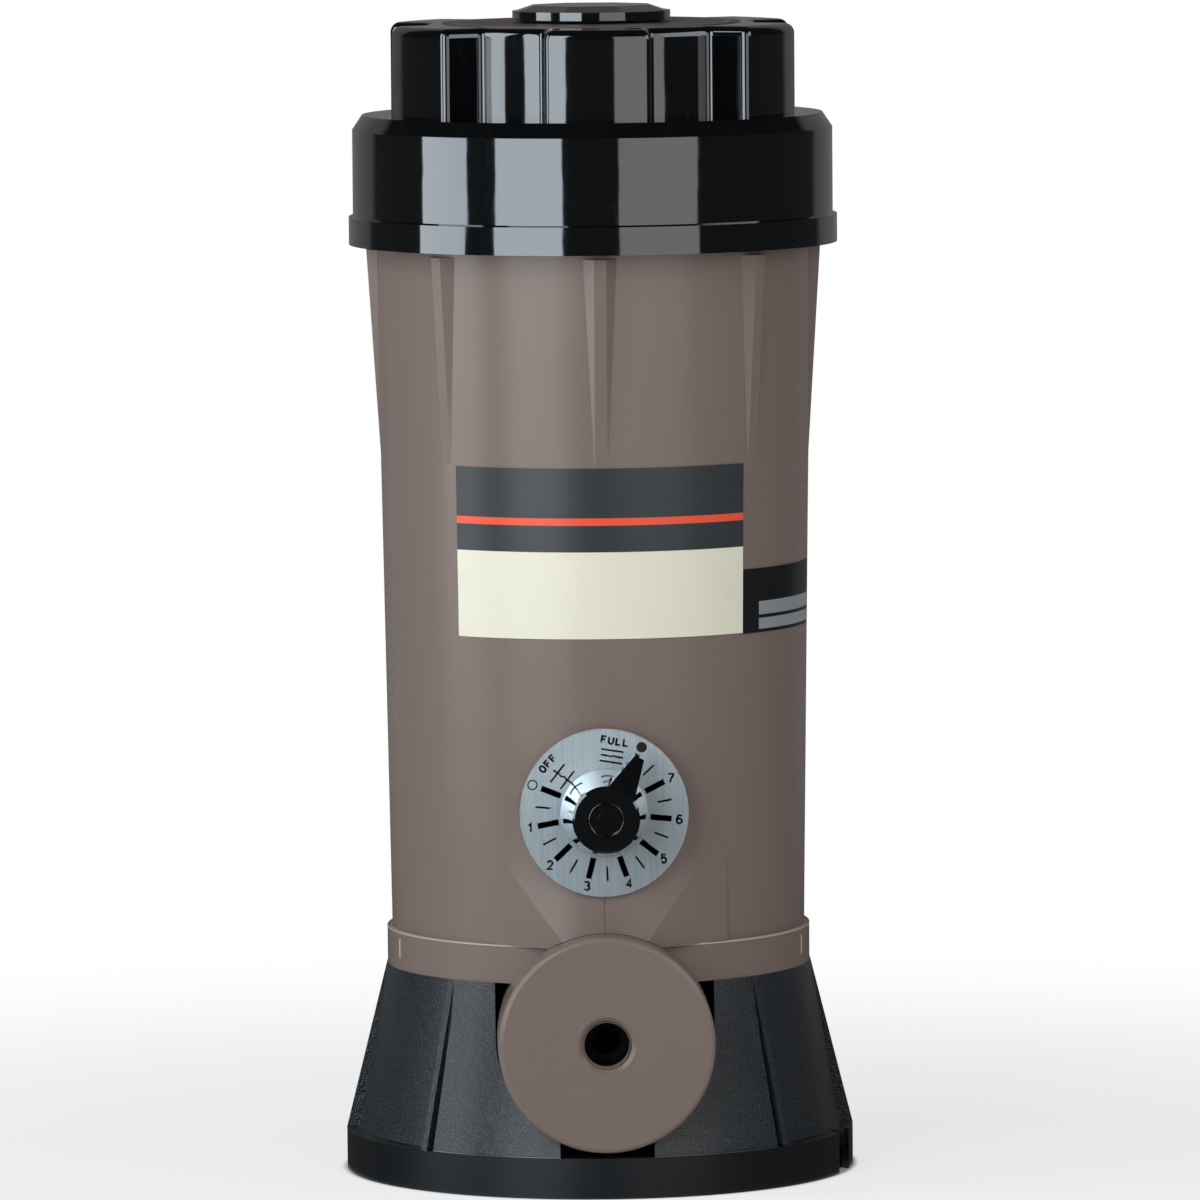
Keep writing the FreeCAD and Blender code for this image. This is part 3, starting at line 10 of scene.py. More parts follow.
import bpy
import numpy as np
from bpy.props import FloatProperty, FloatVectorProperty, IntProperty, PointerProperty
from mathutils import Matrix, Vector


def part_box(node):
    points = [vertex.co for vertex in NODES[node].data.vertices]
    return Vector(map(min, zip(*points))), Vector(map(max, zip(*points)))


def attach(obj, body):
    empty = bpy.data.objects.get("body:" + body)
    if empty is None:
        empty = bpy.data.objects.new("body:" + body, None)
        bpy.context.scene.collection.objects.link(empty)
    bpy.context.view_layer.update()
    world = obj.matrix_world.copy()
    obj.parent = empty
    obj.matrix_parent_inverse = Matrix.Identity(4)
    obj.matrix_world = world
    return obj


bl_info = {
    "name": "Chlorine feeder looks",
    "version": (1, 0, 0),
    "blender": (4, 5, 0),
    "location": "View3D > Sidebar > Feeder",
    "description": "Finishes, dial print, labels and stage for a tablet chlorine feeder",
    "category": "Object",
}

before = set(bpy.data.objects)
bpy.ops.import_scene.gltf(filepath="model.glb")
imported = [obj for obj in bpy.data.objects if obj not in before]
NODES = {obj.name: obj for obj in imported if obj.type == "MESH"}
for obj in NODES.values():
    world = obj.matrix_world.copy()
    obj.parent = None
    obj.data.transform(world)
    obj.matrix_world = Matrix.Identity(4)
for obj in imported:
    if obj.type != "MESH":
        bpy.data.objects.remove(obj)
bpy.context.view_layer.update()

MM = 0.001
MICRON = 0.000001


def span(node, axis):
    """Lowest and highest place of a CAD node along one axis."""
    low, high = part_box(node)
    return low[axis], high[axis]


def middle(node, axis):
    low, high = span(node, axis)
    return (low + high) / 2


DIAL_FACE = span("dial_plate", 1)[0]
DIAL_HEIGHT = middle("dial_plate", 2)
DIAL_RADIUS = span("dial_plate", 0)[1]
PORT_HEIGHT = middle("front_end_plate", 2)
# tops of the base's foot ring and of the collar, which have no node of their own
RING_TOP = 15.2 * MM
COLLAR_TOP = 92.0 * MM


def display(red, green, blue):
    """Scene-linear colour from the 0 to 255 values that a screen shows."""

    def linear(level):
        share = level / 255
        return share / 12.92 if share <= 0.04045 else ((share + 0.055) / 1.055) ** 2.4

    return (linear(red), linear(green), linear(blue), 1.0)


# cool tint of the light that the black plastics mirror
COOL_SHEEN = (0.74, 0.87, 1.0, 1.0)


# values that a user would change


def colour(name, description, rgb):
    return FloatVectorProperty(
        name=name,
        description=description,
        subtype="COLOR",
        size=4,
        min=0.0,
        max=1.0,
        default=display(*rgb),
    )


def length(name, description, default):
    return FloatProperty(name=name, description=description, unit="LENGTH", default=default)


def angle(name, description, degrees):
    return FloatProperty(
        name=name, description=description, subtype="ANGLE", default=math.radians(degrees)
    )


class FinishSettings(bpy.types.PropertyGroup):
    tank: colour("Tank", "Glossy moulded plastic of the tank and the barrel", (122, 109, 103))
    edge: colour("Edges", "Fine ridges and beads, paler where the edge catches light", (178, 166, 159))
    cap: colour("Cap", "Glossy black plastic of the cap and the knob", (6, 8, 10))
    base: colour("Base", "Grained black plastic of the base skirt", (15, 18, 21))
    dial: colour("Dial", "Brushed metal of the dial plate", (216, 234, 245))
    bright: colour("Bright skirt", "Mirror-bright skirt round the knob", (236, 238, 241))
    ink: colour("Dial ink", "Black print on the dial", (20, 20, 22))
    label_dark: colour("Label, dark", "Dark part of the main label", (52, 58, 62))
    label_stripe: colour("Label, stripe", "Narrow stripe of the main label", (238, 86, 58))
    label_pale: colour("Label, pale", "Pale part of the main label", (228, 226, 209))
    plate_dark: colour("Side label", "Ground of the side label", (24, 26, 30))
    plate_pale: colour("Side label fields", "Bare fields of the side label", (176, 182, 186))
    cap_print: colour("Cap label", "Bare ring label on the cap", (92, 80, 76))
    rubber: colour("Rubber", "O-rings and gasket", (26, 26, 26))
    inner: colour("Inner plastic", "Valve, nut and grate", (120, 122, 122))
    rotor: colour("Rotor", "Rotor of the valve", (206, 205, 198))


class PrintSettings(bpy.types.PropertyGroup):
    mark_inner: length("Mark start", "Radius at which the wide marks start", 17.2 * MM)
    mark_outer: length("Mark end", "Radius at which the wide marks end", 25.1 * MM)
    mark_width: length("Mark width", "Width of a wide mark", 2.2 * MM)
    tick_inner: length("Tick start", "Radius at which the thin ticks start", 20.1 * MM)
    tick_outer: length("Tick end", "Radius at which the thin ticks end", 25.5 * MM)
    tick_width: length("Tick width", "Width of a thin tick", 0.72 * MM)
    number_radius: length("Number radius", "Radius of the numbers' centres", 27.9 * MM)
    number_height: length("Number height", "Height of a number", 3.8 * MM)
    word_height: length("Word height", "Height of a word's capitals", 3.2 * MM)
    word_pitch: length("Letter pitch", "Distance between the letters of a word", 2.75 * MM)
    sign_weight: length("Stroke", "Width of the strokes of numbers and letters", 0.74 * MM)
    ink_thickness: length("Ink thickness", "How far the print stands proud", 0.04 * MM)
    closed_radius: length("Closed ring", "Radius at which the closed mark's ring sits", 28.6 * MM)
    full_radius: length("Full dot", "Radius at which the full mark's dot sits", 28.1 * MM)
    dot_radius: length("Dot size", "Outer radius of that ring and dot", 1.95 * MM)
    ring_bore: length("Ring bore", "Inner radius of that ring", 1.45 * MM)
    line_length: length("Line length", "Length of the short lines by the words", 8.4 * MM)
    line_weight: length("Line weight", "Width of those lines", 0.68 * MM)
    line_kink: length("Line kink", "Swing of the kink in the middle line", 0.35 * MM)
    number_share: FloatProperty(name="Number share", description="Width over height", default=0.68)
    word_share: FloatProperty(name="Letter share", description="Width over height", default=0.76)
    first_mark: angle("First mark", "Angle of the closed mark, from +X upwards", 158.0)
    last_mark: angle("Last mark", "Angle of the full mark, from +X upwards", 60.0)
    mark_count: IntProperty(name="Marks", description="Wide marks on the dial", default=9, min=2)


class DetailSettings(bpy.types.PropertyGroup):
    thread_radius: length("Thread radius", "Radius at the roots of the port threads", 9.12 * MM)
    thread_height: length("Thread height", "Height of a thread ridge", 0.75 * MM)
    thread_pitch: length("Thread pitch", "Pitch of the port threads", 1.814 * MM)
    thread_length: length("Thread length", "Length of the port threads", 15.0 * MM)
    thread_inset: length("Thread inset", "Depth of the first ridge in the port", 1.3 * MM)
    ridge_turn: angle("Ridge turn", "Angle of the collar's ridges from the front", 71.0)
    ridge_width: length("Ridge width", "Width of a collar ridge", 0.9 * MM)
    ridge_height: length("Ridge height", "How far a collar ridge stands out", 0.45 * MM)
    ridge_low: length("Ridge foot", "Height of a collar ridge's foot", 82.0 * MM)
    ridge_high: length("Ridge top", "Height of a collar ridge's top", 90.0 * MM)
    collar_radius: length("Collar radius", "Radius of the collar", 79.8 * MM)
    outer_bead: length("Outer bead", "Distance of the outer bead in from the collar", 0.25 * MM)
    inner_bead: length("Inner bead", "Distance of the inner bead in from the collar", 1.55 * MM)
    bead_sink: length("Bead depth", "How far the beads' centres lie below the edge", 0.1 * MM)
    bead_section: length("Bead", "Section radius of the beads on the collar's edge", 0.38 * MM)
    ring_radius: length("Ring radius", "Radius of the ring on the knob's face", 6.3 * MM)
    ring_section: length("Ring section", "Section radius of that ring", 0.22 * MM)


class StageSettings(bpy.types.PropertyGroup):
    camera_distance: length("Camera distance", "Level distance to the tank's axis", 4.08)
    camera_height: length("Camera height", "Height above the floor", 0.580)
    camera_turn: angle("Camera turn", "Turn of the camera about the tank, towards -X", 1.7)
    camera_pitch: angle("Camera pitch", "Tilt of the view below the horizon", 5.12)
    camera_yaw: angle("Camera yaw", "Aim to the right of the tank's axis", 0.022)
    camera_roll: angle("Camera roll", "Clockwise lean of the camera", 0.45)
    camera_lens: FloatProperty(
        name="Lens", description="Focal length", subtype="DISTANCE_CAMERA", default=325.5
    )
    lamp_distance: length("Lamp distance", "Distance of the soft boxes from the tank", 1.6)
    floor_radius: length("Floor radius", "Radius of the pale floor", 30.0)


# surfaces


class Sheaf:
    """Points and faces of one piece, gathered from several surfaces."""

    def __init__(self):
        self.points = []
        self.faces = []
        self.count = 0

    def add(self, points, faces):
        points = np.asarray(points, float).reshape(-1, 3)
        self.points.append(points)
        self.faces.extend((np.asarray(face) + self.count).tolist() for face in faces)
        self.count += len(points)
        return self

    def grid(self, points, closed_u=False, closed_v=False):
        """Adds a surface from a u by v array of points, wrapped round where it is closed."""
        rows, columns = points.shape[:2]
        index = np.arange(rows * columns).reshape(rows, columns)
        if closed_u:
            index = np.vstack([index, index[:1]])
        if closed_v:
            index = np.hstack([index, index[:, :1]])
        quads = np.stack([index[:-1, :-1], index[1:, :-1], index[1:, 1:], index[:-1, 1:]], -1)
        return self.add(points, quads.reshape(-1, 4))

    def built(self, name, material, smooth=True):
        """The gathered surfaces as one mesh object in the scene."""
        mesh = bpy.data.meshes.new(name)
        mesh.from_pydata(np.vstack(self.points).tolist(), [], self.faces)
        mesh.validate()
        mesh.polygons.foreach_set("use_smooth", np.full(len(mesh.polygons), smooth))
        mesh.materials.append(material)
        made = bpy.data.objects.new(name, mesh)
        bpy.context.scene.collection.objects.link(made)
        return made

    def piece(self, name, body, material, slot, smooth=True):
        """The same object as a piece that rides on a CAD body."""
        made = self.built(name, material, smooth)
        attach(made, body)
        return made


def on_dial(across, up):
    """Points on the dial's face: (x, face, height + z), across along +X and up along +Z."""
    return np.stack([across, np.full(across.shape, DIAL_FACE), DIAL_HEIGHT + up], -1)


def laid(x, y, tilt, across=0.0, up=0.0):
    """Points of a flat pattern turned and set on the dial: centre + R(tilt) (x, y)."""
    c, s = math.cos(tilt), math.sin(tilt)
    return on_dial(across + x * c - y * s, up + x * s + y * c)


def bar(turn, inner, outer, width):
    """A straight bar along a ray: R(turn) (r, w), r from inner to outer, w across it."""
    r, w = np.meshgrid([inner, outer], [width / 2, -width / 2], indexing="ij")
    return laid(r, w, turn)


def annulus(turn, radius, inner, outer, steps=40):
    """A flat ring about a point of the dial: centre + q (cos a, sin a), q from inner to outer."""
    a = np.linspace(0, 2 * np.pi, steps, endpoint=False)
    q, a = np.meshgrid([inner, outer], a, indexing="ij")
    return on_dial(radius * np.cos(turn) + q * np.cos(a), radius * np.sin(turn) + q * np.sin(a))


def stroke(across, up, tilt, reach, swing, width, steps=48):
    """A line with a small kink: x = s l, y = k sin(6 pi s) exp(-(8 s)^2) + w, turned by tilt."""
    s = np.linspace(-0.5, 0.5, steps)
    s, w = np.meshgrid(s, [width / 2, -width / 2], indexing="ij")
    y = swing * np.sin(6 * np.pi * s) * np.exp(-((8 * s) ** 2)) + w
    return laid(s * reach, y, tilt, across, up)


def arc(across, up, wide, high, first, last, steps=16):
    """Points of an ellipse's arc: (x + a cos t, y + b sin t), t from first to last in degrees."""
    t = np.radians(np.linspace(first, last, steps))
    return np.stack([across + wide * np.cos(t), up + high * np.sin(t)], -1)


def path(*parts):
    return np.vstack([np.atleast_2d(np.asarray(part, float)) for part in parts])


# centre lines of the signs in a box of one by one about their middle
SIGNS = {
    "1": [path((-0.34, 0.2), (0.1, 0.5), (0.1, -0.5))],
    "2": [path(arc(0, 0.2, 0.5, 0.3, 165, -28), (-0.5, -0.5), (0.5, -0.5))],
    "3": [path(arc(0, 0.25, 0.46, 0.25, 155, -90)), path(arc(0, -0.24, 0.5, 0.26, 90, -155))],
    "4": [path((0.2, -0.5), (0.2, 0.5), (-0.5, -0.2), (0.52, -0.2))],
    "5": [path((0.42, 0.5), (-0.34, 0.5), (-0.44, 0.0), arc(0, -0.17, 0.5, 0.33, 138, -150))],
    "6": [path(arc(0, -0.2, 0.5, 0.3, 0, 360, 32)), path(arc(0.12, -0.14, 0.62, 0.64, 180, 52))],
    "7": [path((-0.5, 0.5), (0.5, 0.5), arc(0.9, -0.5, 1.02, 0.8, 118, 180, 8))],
    "F": [path((-0.45, -0.5), (-0.45, 0.5), (0.5, 0.5)), path((-0.45, 0.04), (0.36, 0.04))],
    "L": [path((-0.45, 0.5), (-0.45, -0.5), (0.5, -0.5))],
    "O": [path(arc(0, 0, 0.52, 0.5, 0, 360, 32))],
    "U": [path((-0.5, 0.5), arc(0, -0.12, 0.5, 0.38, 180, 360), (0.5, 0.5))],
}
# the words: place across and up in millimetres, tilt in degrees
WORDS = (("OFF", -20.8, 18.6, 47.0), ("FULL", 4.1, 26.7, -9.0))
# the short lines by the words, placed alike, and whether a line has a kink
LINES = (
    (3.2, 23.2, -9.0, False),
    (3.0, 21.1, -9.0, True),
    (2.6, 18.9, -9.0, False),
    (-17.2, 15.0, 52.0, False),
    (-13.6, 12.4, 52.0, False),
    (-15.3, 13.7, -36.0, True),
)


def ribbon(line, width):
    """A strip along a line P(s): P + w n / cos(c / 2), n the mean normal, c the bend at P."""
    step = np.diff(line, axis=0)
    step /= np.linalg.norm(step, axis=1)[:, None]
    before = np.vstack([step[:1], step])
    after = np.vstack([step, step[-1:]])
    if np.allclose(line[0], line[-1]):
        before[0] = step[-1]
        after[-1] = step[0]
    mean = before + after
    mean /= np.linalg.norm(mean, axis=1)[:, None]
    reach = 1 / np.clip((mean * after).sum(1), 0.5, 1.0)
    normal = np.stack([-mean[:, 1], mean[:, 0]], -1) * reach[:, None]
    w = np.array([1.0, -1.0])[None, :, None] * width / 2
    return line[:, None, :] + w * normal[:, None, :]


def signs(text, height, share, pitch, across, up, tilt, weight):
    """Strips of a row of signs on the dial: centre + R(tilt) (i p + x, y) for the i-th sign."""
    box = np.array([height * share - weight, height - weight])
    strips = []
    for i, sign in enumerate(text):
        along = (i - (len(text) - 1) / 2) * pitch
        for line in SIGNS[sign]:
            flat = ribbon(line * box, weight)
            strips.append(laid(flat[..., 0] + along, flat[..., 1], tilt, across, up))
    return strips


def thread_flanks(face, depth, radius, height, pitch, side, per_turn=14):
    """Ridges inside a port: r = R - h |2 frac(y / p - a / 2 pi) - 1|, y running in from the face."""
    y, a = np.meshgrid(
        np.linspace(0.0, depth, int(depth / pitch * per_turn)),
        np.linspace(0, 2 * np.pi, 96, endpoint=False) * side,
        indexing="ij",
    )
    saw = np.abs(2 * np.mod(y / pitch - a / (2 * np.pi), 1.0) - 1)
    r = radius - height * saw
    return np.stack([r * np.cos(a), side * (face - y), PORT_HEIGHT + r * np.sin(a)], -1)


def upright_ridge(turn, low, high, radius, width, height, sunk=0.05 * MM):
    """A small rounded rib on the collar: out = h sin(q) (1 - t^6), across = w cos(q) / 2."""
    q, t = np.meshgrid(np.linspace(0, np.pi, 9), np.linspace(-1, 1, 17), indexing="ij")
    r = radius - sunk + height * np.sin(q) * (1 - t**6)
    a = turn - width / 2 * np.cos(q) / radius
    z = (low + high) / 2 + t * (high - low) / 2
    return np.stack([r * np.sin(a), -r * np.cos(a), z], -1)


def hoop(radius, section, height):
    """A fine bead round the tank: (R + s cos b) round the axis, s sin b up."""
    a, b = np.meshgrid(
        np.linspace(0, 2 * np.pi, 240, endpoint=False),
        np.linspace(0, 2 * np.pi, 12, endpoint=False),
        indexing="ij",
    )
    r = radius + section * np.cos(b)
    return np.stack([r * np.sin(a), -r * np.cos(a), height + section * np.sin(b)], -1)


def face_ring(radius, section, face, height):
    """A fine raised ring on the knob: (R + s cos b) round the axis, s sin b out of the face."""
    a, b = np.meshgrid(
        np.linspace(0, 2 * np.pi, 96, endpoint=False), np.linspace(0, np.pi, 9), indexing="ij"
    )
    r = radius + section * np.cos(b)
    return np.stack([r * np.cos(a), face - section * np.sin(b), height + r * np.sin(a)], -1)


def thicken(piece, thickness):
    """Gives a flat print its thickness, away from the face that it lies on."""
    made = piece.modifiers.new("thickness", "SOLIDIFY")
    made.thickness = thickness
    made.offset = 1.0


# shader arithmetic


class Wire:
    """A socket of a node tree that combines with others as a number does."""

    def __init__(self, paint, socket):
        self.paint = paint
        self.socket = socket

    def with_maths(self, operation, *values):
        inputs = dict(enumerate(values))
        return self.paint.node("ShaderNodeMath", {"operation": operation}, inputs)

    def __add__(self, other):
        return self.with_maths("ADD", self, other)

    def __radd__(self, other):
        return self.with_maths("ADD", other, self)

    def __sub__(self, other):
        return self.with_maths("SUBTRACT", self, other)

    def __rsub__(self, other):
        return self.with_maths("SUBTRACT", other, self)

    def __mul__(self, other):
        return self.with_maths("MULTIPLY", self, other)

    def __rmul__(self, other):
        return self.with_maths("MULTIPLY", other, self)

    def __truediv__(self, other):
        return self.with_maths("DIVIDE", self, other)

    def __pow__(self, other):
        return self.with_maths("POWER", self, other)

    def highest(self, other):
        return self.with_maths("MAXIMUM", self, other)

    def size(self):
        return self.with_maths("ABSOLUTE", self)

    def bearing(self, other):
        """The angle whose tangent is this value over the other one."""
        return self.with_maths("ARCTAN2", self, other)

    def above(self, edge, softness):
        """0 below the edge and 1 above it, with a smooth step as wide as the softness."""
        settings = {"interpolation_type": "SMOOTHSTEP"}
        inputs = {
            "Value": self,
            "From Min": edge - softness / 2,
            "From Max": edge + softness / 2,
        }
        return self.paint.node("ShaderNodeMapRange", settings, inputs)

    def within(self, low, high, softness):
        return self.above(low, softness) * (1 - self.above(high, softness))


class Paint:
    """A node tree under construction, of a material or of the world."""

    def __init__(self, owner):
        self.owner = owner
        owner.use_nodes = True
        self.tree = owner.node_tree
        self.tree.nodes.clear()

    @staticmethod
    def named(sockets, key):
        if isinstance(key, int):
            return sockets[key]
        return next(s for s in sockets if key in (s.identifier, s.name))

    def node(self, kind, settings=None, inputs=None, output=0):
        """Adds a node: its settings first, then the values or links of its sockets."""
        made = self.tree.nodes.new(kind)
        for name, value in (settings or {}).items():
            setattr(made, name, value)
        for key, value in (inputs or {}).items():
            socket = self.named(made.inputs, key)
            if isinstance(value, Wire):
                self.tree.links.new(value.socket, socket)
            else:
                socket.default_value = value
        if not len(made.outputs):
            return made
        return Wire(self, self.named(made.outputs, output))

    def place(self, scale=(1.0, 1.0, 1.0)):
        """Object coordinates, stretched by a Mapping node."""
        here = self.node("ShaderNodeTexCoord", output="Object")
        return self.node("ShaderNodeMapping", inputs={"Vector": here, "Scale": scale})

    def parts(self):
        """The three object coordinates as wires."""
        here = self.node("ShaderNodeTexCoord", output="Object")
        return [
            self.node("ShaderNodeSeparateXYZ", inputs={"Vector": here}, output=axis)
            for axis in ("X", "Y", "Z")
        ]

    def noise(self, scale, detail=3.0, roughness=0.5, where=None):
        inputs = {
            "Vector": where or self.place(),
            "Scale": scale,
            "Detail": detail,
            "Roughness": roughness,
        }
        return self.node("ShaderNodeTexNoise", inputs=inputs, output="Fac")

    def mix(self, share, first, second):
        settings = {"data_type": "RGBA"}
        inputs = {"Factor_Float": share, "A_Color": first, "B_Color": second}
        return self.node("ShaderNodeMix", settings, inputs, output="Result_Color")

    def shaded(self, tint, level):
        """A colour made lighter or darker by a level that varies round 1."""
        grey = self.node("ShaderNodeCombineColor", inputs={0: level, 1: level, 2: level})
        settings = {"data_type": "RGBA", "blend_type": "MULTIPLY"}
        inputs = {"Factor_Float": 1.0, "A_Color": tint, "B_Color": grey}
        return self.node("ShaderNodeMix", settings, inputs, output="Result_Color")

    def bump(self, height, distance, strength=1.0, after=None):
        inputs = {"Height": height, "Distance": distance, "Strength": strength}
        if after:
            inputs["Normal"] = after
        return self.node("ShaderNodeBump", inputs=inputs, output="Normal")

    def blended_foot(self, x, y, height):
        """Normal that turns towards the tank's own round wall on the flat fairing under the dial."""
        plain = self.node("ShaderNodeNewGeometry", output="Normal")
        flat = self.node("ShaderNodeCombineXYZ", inputs={"X": x, "Y": y})
        radial = self.node(
            "ShaderNodeVectorMath", {"operation": "NORMALIZE"}, {0: flat}, output="Vector"
        )
        along = self.node(
            "ShaderNodeVectorMath", {"operation": "DOT_PRODUCT"}, {0: plain, 1: radial}, output="Value"
        )
        front = (1 - y.above(-60.0 * MM, 8.0 * MM)) * along.above(0.8, 0.1)
        share = front * height.within(COLLAR_TOP + 2.0 * MM, DIAL_HEIGHT, 8.0 * MM) * 0.75
        inputs = {"Factor_Float": share, "A_Vector": plain, "B_Vector": radial}
        turned = self.node(
            "ShaderNodeMix", {"data_type": "VECTOR"}, inputs, output="Result_Vector"
        )
        return self.node(
            "ShaderNodeVectorMath", {"operation": "NORMALIZE"}, {0: turned}, output="Vector"
        )

    def surface(self, **sockets):
        """The Principled shader and the output; a key's underscores stand for spaces."""
        inputs = {key.replace("_", " "): value for key, value in sockets.items()}
        shader = self.node("ShaderNodeBsdfPrincipled", inputs=inputs, output="BSDF")
        self.node("ShaderNodeOutputMaterial", inputs={"Surface": shader})
        return self.owner


def new_paint(name):
    return Paint(bpy.data.materials.new(name))


# finishes


def moulded_gloss(name, tint, roughness=0.26, seam=False, ports=False):
    """Glossy moulded plastic: faint flow marks, fine scuffs, dust and a slow waviness. With seam,
    painted shade in a parting-line groove; with ports, painted shade deep in the port bores.
    """
    paint = new_paint(name)
    cloud = paint.noise(9.0, 4.0, 0.55)
    fine = paint.noise(900.0, 2.0, 0.6)
    streak = paint.noise(60.0, 3.0, 0.6, where=paint.place(scale=(1.0, 1.0, 0.08)))
    dust = paint.noise(1700.0, 2.0, 0.7).above(0.73, 0.04)
    level = 0.955 + cloud * 0.06 + streak * 0.03 + dust * 0.3
    slow = paint.noise(14.0, 1.0, 0.4)
    x, y, height = paint.parts()
    smooth = paint.blended_foot(x, y, height) if seam else None
    waves = paint.bump(slow, 0.96 * MM, after=smooth)
    peel = paint.bump(fine, 12 * MICRON, after=waves)
    if seam:
        groove = x.within(-0.16 * MM, 0.16 * MM, 0.2 * MM) * (1 - y.above(0.0, 0.01))
        groove = groove * height.within(COLLAR_TOP, DIAL_HEIGHT, 0.2 * MM)
        # painted shade: the parting-line groove is darkened in colour, besides its bump
        level = level - groove * 0.35
        peel = paint.bump(1 - groove, 0.3 * MM, after=peel)
    # painted shade: within each port's bore the colour is darkened nearly to black deeper in, where
    # shade falls
    if ports:
        up = height - PORT_HEIGHT
        inside = 1 - ((x * x + up * up) ** 0.5).above(9.7 * MM, 0.3 * MM)
        level = level * (1 - inside * (1 - y.size().above(91.0 * MM, 5.0 * MM)) * 0.97)
    return paint.surface(
        Base_Color=paint.shaded(tint, level),
        Roughness=roughness + (cloud - 0.5) * 0.06 + (fine - 0.5) * 0.05,
        Normal=peel,
        Specular_IOR_Level=0.42,
    )


def polished_black(name, tint, roughness=0.06):
    """Glossy black plastic with a clear top: slight waviness, dust and hairline scuffs."""
    paint = new_paint(name)
    dust = paint.noise(1400.0, 2.0, 0.7)
    cloud = paint.noise(22.0, 3.0, 0.5)
    scuff = paint.noise(260.0, 4.0, 0.7, where=paint.place(scale=(1.0, 1.0, 0.15)))
    specks = dust.above(0.72, 0.04)
    waves = paint.bump(cloud, 0.35 * MM)
    return paint.surface(
        Base_Color=paint.mix(specks * 0.25, tint, display(88, 92, 98)),
        Roughness=roughness + (cloud - 0.5) * 0.05 + scuff.above(0.62, 0.1) * 0.06,
        Specular_IOR_Level=0.95,
        Specular_Tint=COOL_SHEEN,
        Coat_Weight=1.0,
        Coat_Roughness=0.04,
        Coat_IOR=1.65,
        Normal=waves,
    )


def grained_black(name, tint):
    """Black plastic with a leather-like grain above its smoother foot ring."""
    paint = new_paint(name)
    height = paint.parts()[2]
    upper = height.above(RING_TOP + 0.4 * MM, 0.3 * MM)
    cells = paint.node(
        "ShaderNodeTexVoronoi",
        {"feature": "SMOOTH_F1"},
        {"Vector": paint.place(), "Scale": 1500.0, "Smoothness": 0.6, "Randomness": 1.0},
        output="Distance",
    )
    pits = paint.noise(2600.0, 3.0, 0.6)
    cloud = paint.noise(18.0, 4.0, 0.6)
    grain = (cells + pits * 0.5) * upper
    return paint.surface(
        Base_Color=paint.shaded(tint, 0.86 + cloud * 0.3),
        Roughness=0.3 + upper * 0.08 + (cloud - 0.5) * 0.12,
        Normal=paint.bump(grain, 0.5 * MM),
        Specular_IOR_Level=1.0,
        Specular_Tint=COOL_SHEEN,
        Coat_Weight=0.6,
        Coat_Roughness=0.3,
    )


def brushed_plate(name, tint):
    """Metal brushed upright: fine lines along Z in colour, roughness and relief, a smoother rim
    painted lighter as a highlight, and painted light brighter to the upper left.
    """
    paint = new_paint(name)
    lines = paint.noise(1.0, 3.0, 0.7, where=paint.place(scale=(5200.0, 5200.0, 45.0)))
    broad = paint.noise(1.0, 2.0, 0.5, where=paint.place(scale=(800.0, 800.0, 14.0)))
    x, _, height = paint.parts()
    up = height - DIAL_HEIGHT
    # painted highlight: the plate's rim is painted lighter as a bright edge
    rim = ((x * x + up * up) ** 0.5).above(DIAL_RADIUS - 0.35 * MM, 0.3 * MM)
    # painted light: the plate is lighter to the upper left and darker to the lower right
    painted_light_slope = (up - x * 0.8) / DIAL_RADIUS
    level = 0.6 + lines * 0.5 + broad * 0.24 + painted_light_slope * 0.12 + rim * 0.35
    return paint.surface(
        Base_Color=paint.shaded(tint, level),
        Metallic=0.8,
        Roughness=0.38 + (lines - 0.5) * 0.2 - rim * 0.12,
        Normal=paint.bump(lines, 30 * MICRON, 0.7),
    )


def bright_metal(name, tint):
    """Mirror-bright plating with faint handling marks."""
    paint = new_paint(name)
    smear = paint.noise(320.0, 4.0, 0.65)
    return paint.surface(
        Base_Color=paint.shaded(tint, 0.96 + smear * 0.05),
        Metallic=1.0,
        Roughness=0.05 + smear * 0.06,
    )


def turned_steel(name, tint):
    """Turned steel of the small screws, plated or blackened."""
    paint = new_paint(name)
    fine = paint.noise(2400.0, 3.0, 0.6)
    return paint.surface(
        Base_Color=paint.shaded(tint, 0.85 + fine * 0.25),
        Metallic=1.0,
        Roughness=0.28 + fine * 0.2,
    )


def satin_plastic(name, tint, roughness=0.45):
    """Plain satin moulding of the inner pieces."""
    paint = new_paint(name)
    fine = paint.noise(1100.0, 3.0, 0.6)
    cloud = paint.noise(30.0, 3.0, 0.5)
    return paint.surface(
        Base_Color=paint.shaded(tint, 0.93 + cloud * 0.1 + fine * 0.04),
        Roughness=roughness + (fine - 0.5) * 0.12,
        Normal=paint.bump(fine, 30 * MICRON, 0.5),
    )


def soft_rubber(name, tint):
    paint = new_paint(name)
    fine = paint.noise(1900.0, 3.0, 0.6)
    return paint.surface(
        Base_Color=paint.shaded(tint, 0.85 + fine * 0.3),
        Roughness=0.55 + fine * 0.15,
        Specular_IOR_Level=0.35,
    )


def print_ink(name, tint):
    paint = new_paint(name)
    fine = paint.noise(2600.0, 2.0, 0.6)
    return paint.surface(Base_Color=paint.shaded(tint, 0.9 + fine * 0.2), Roughness=0.38 + fine * 0.1)


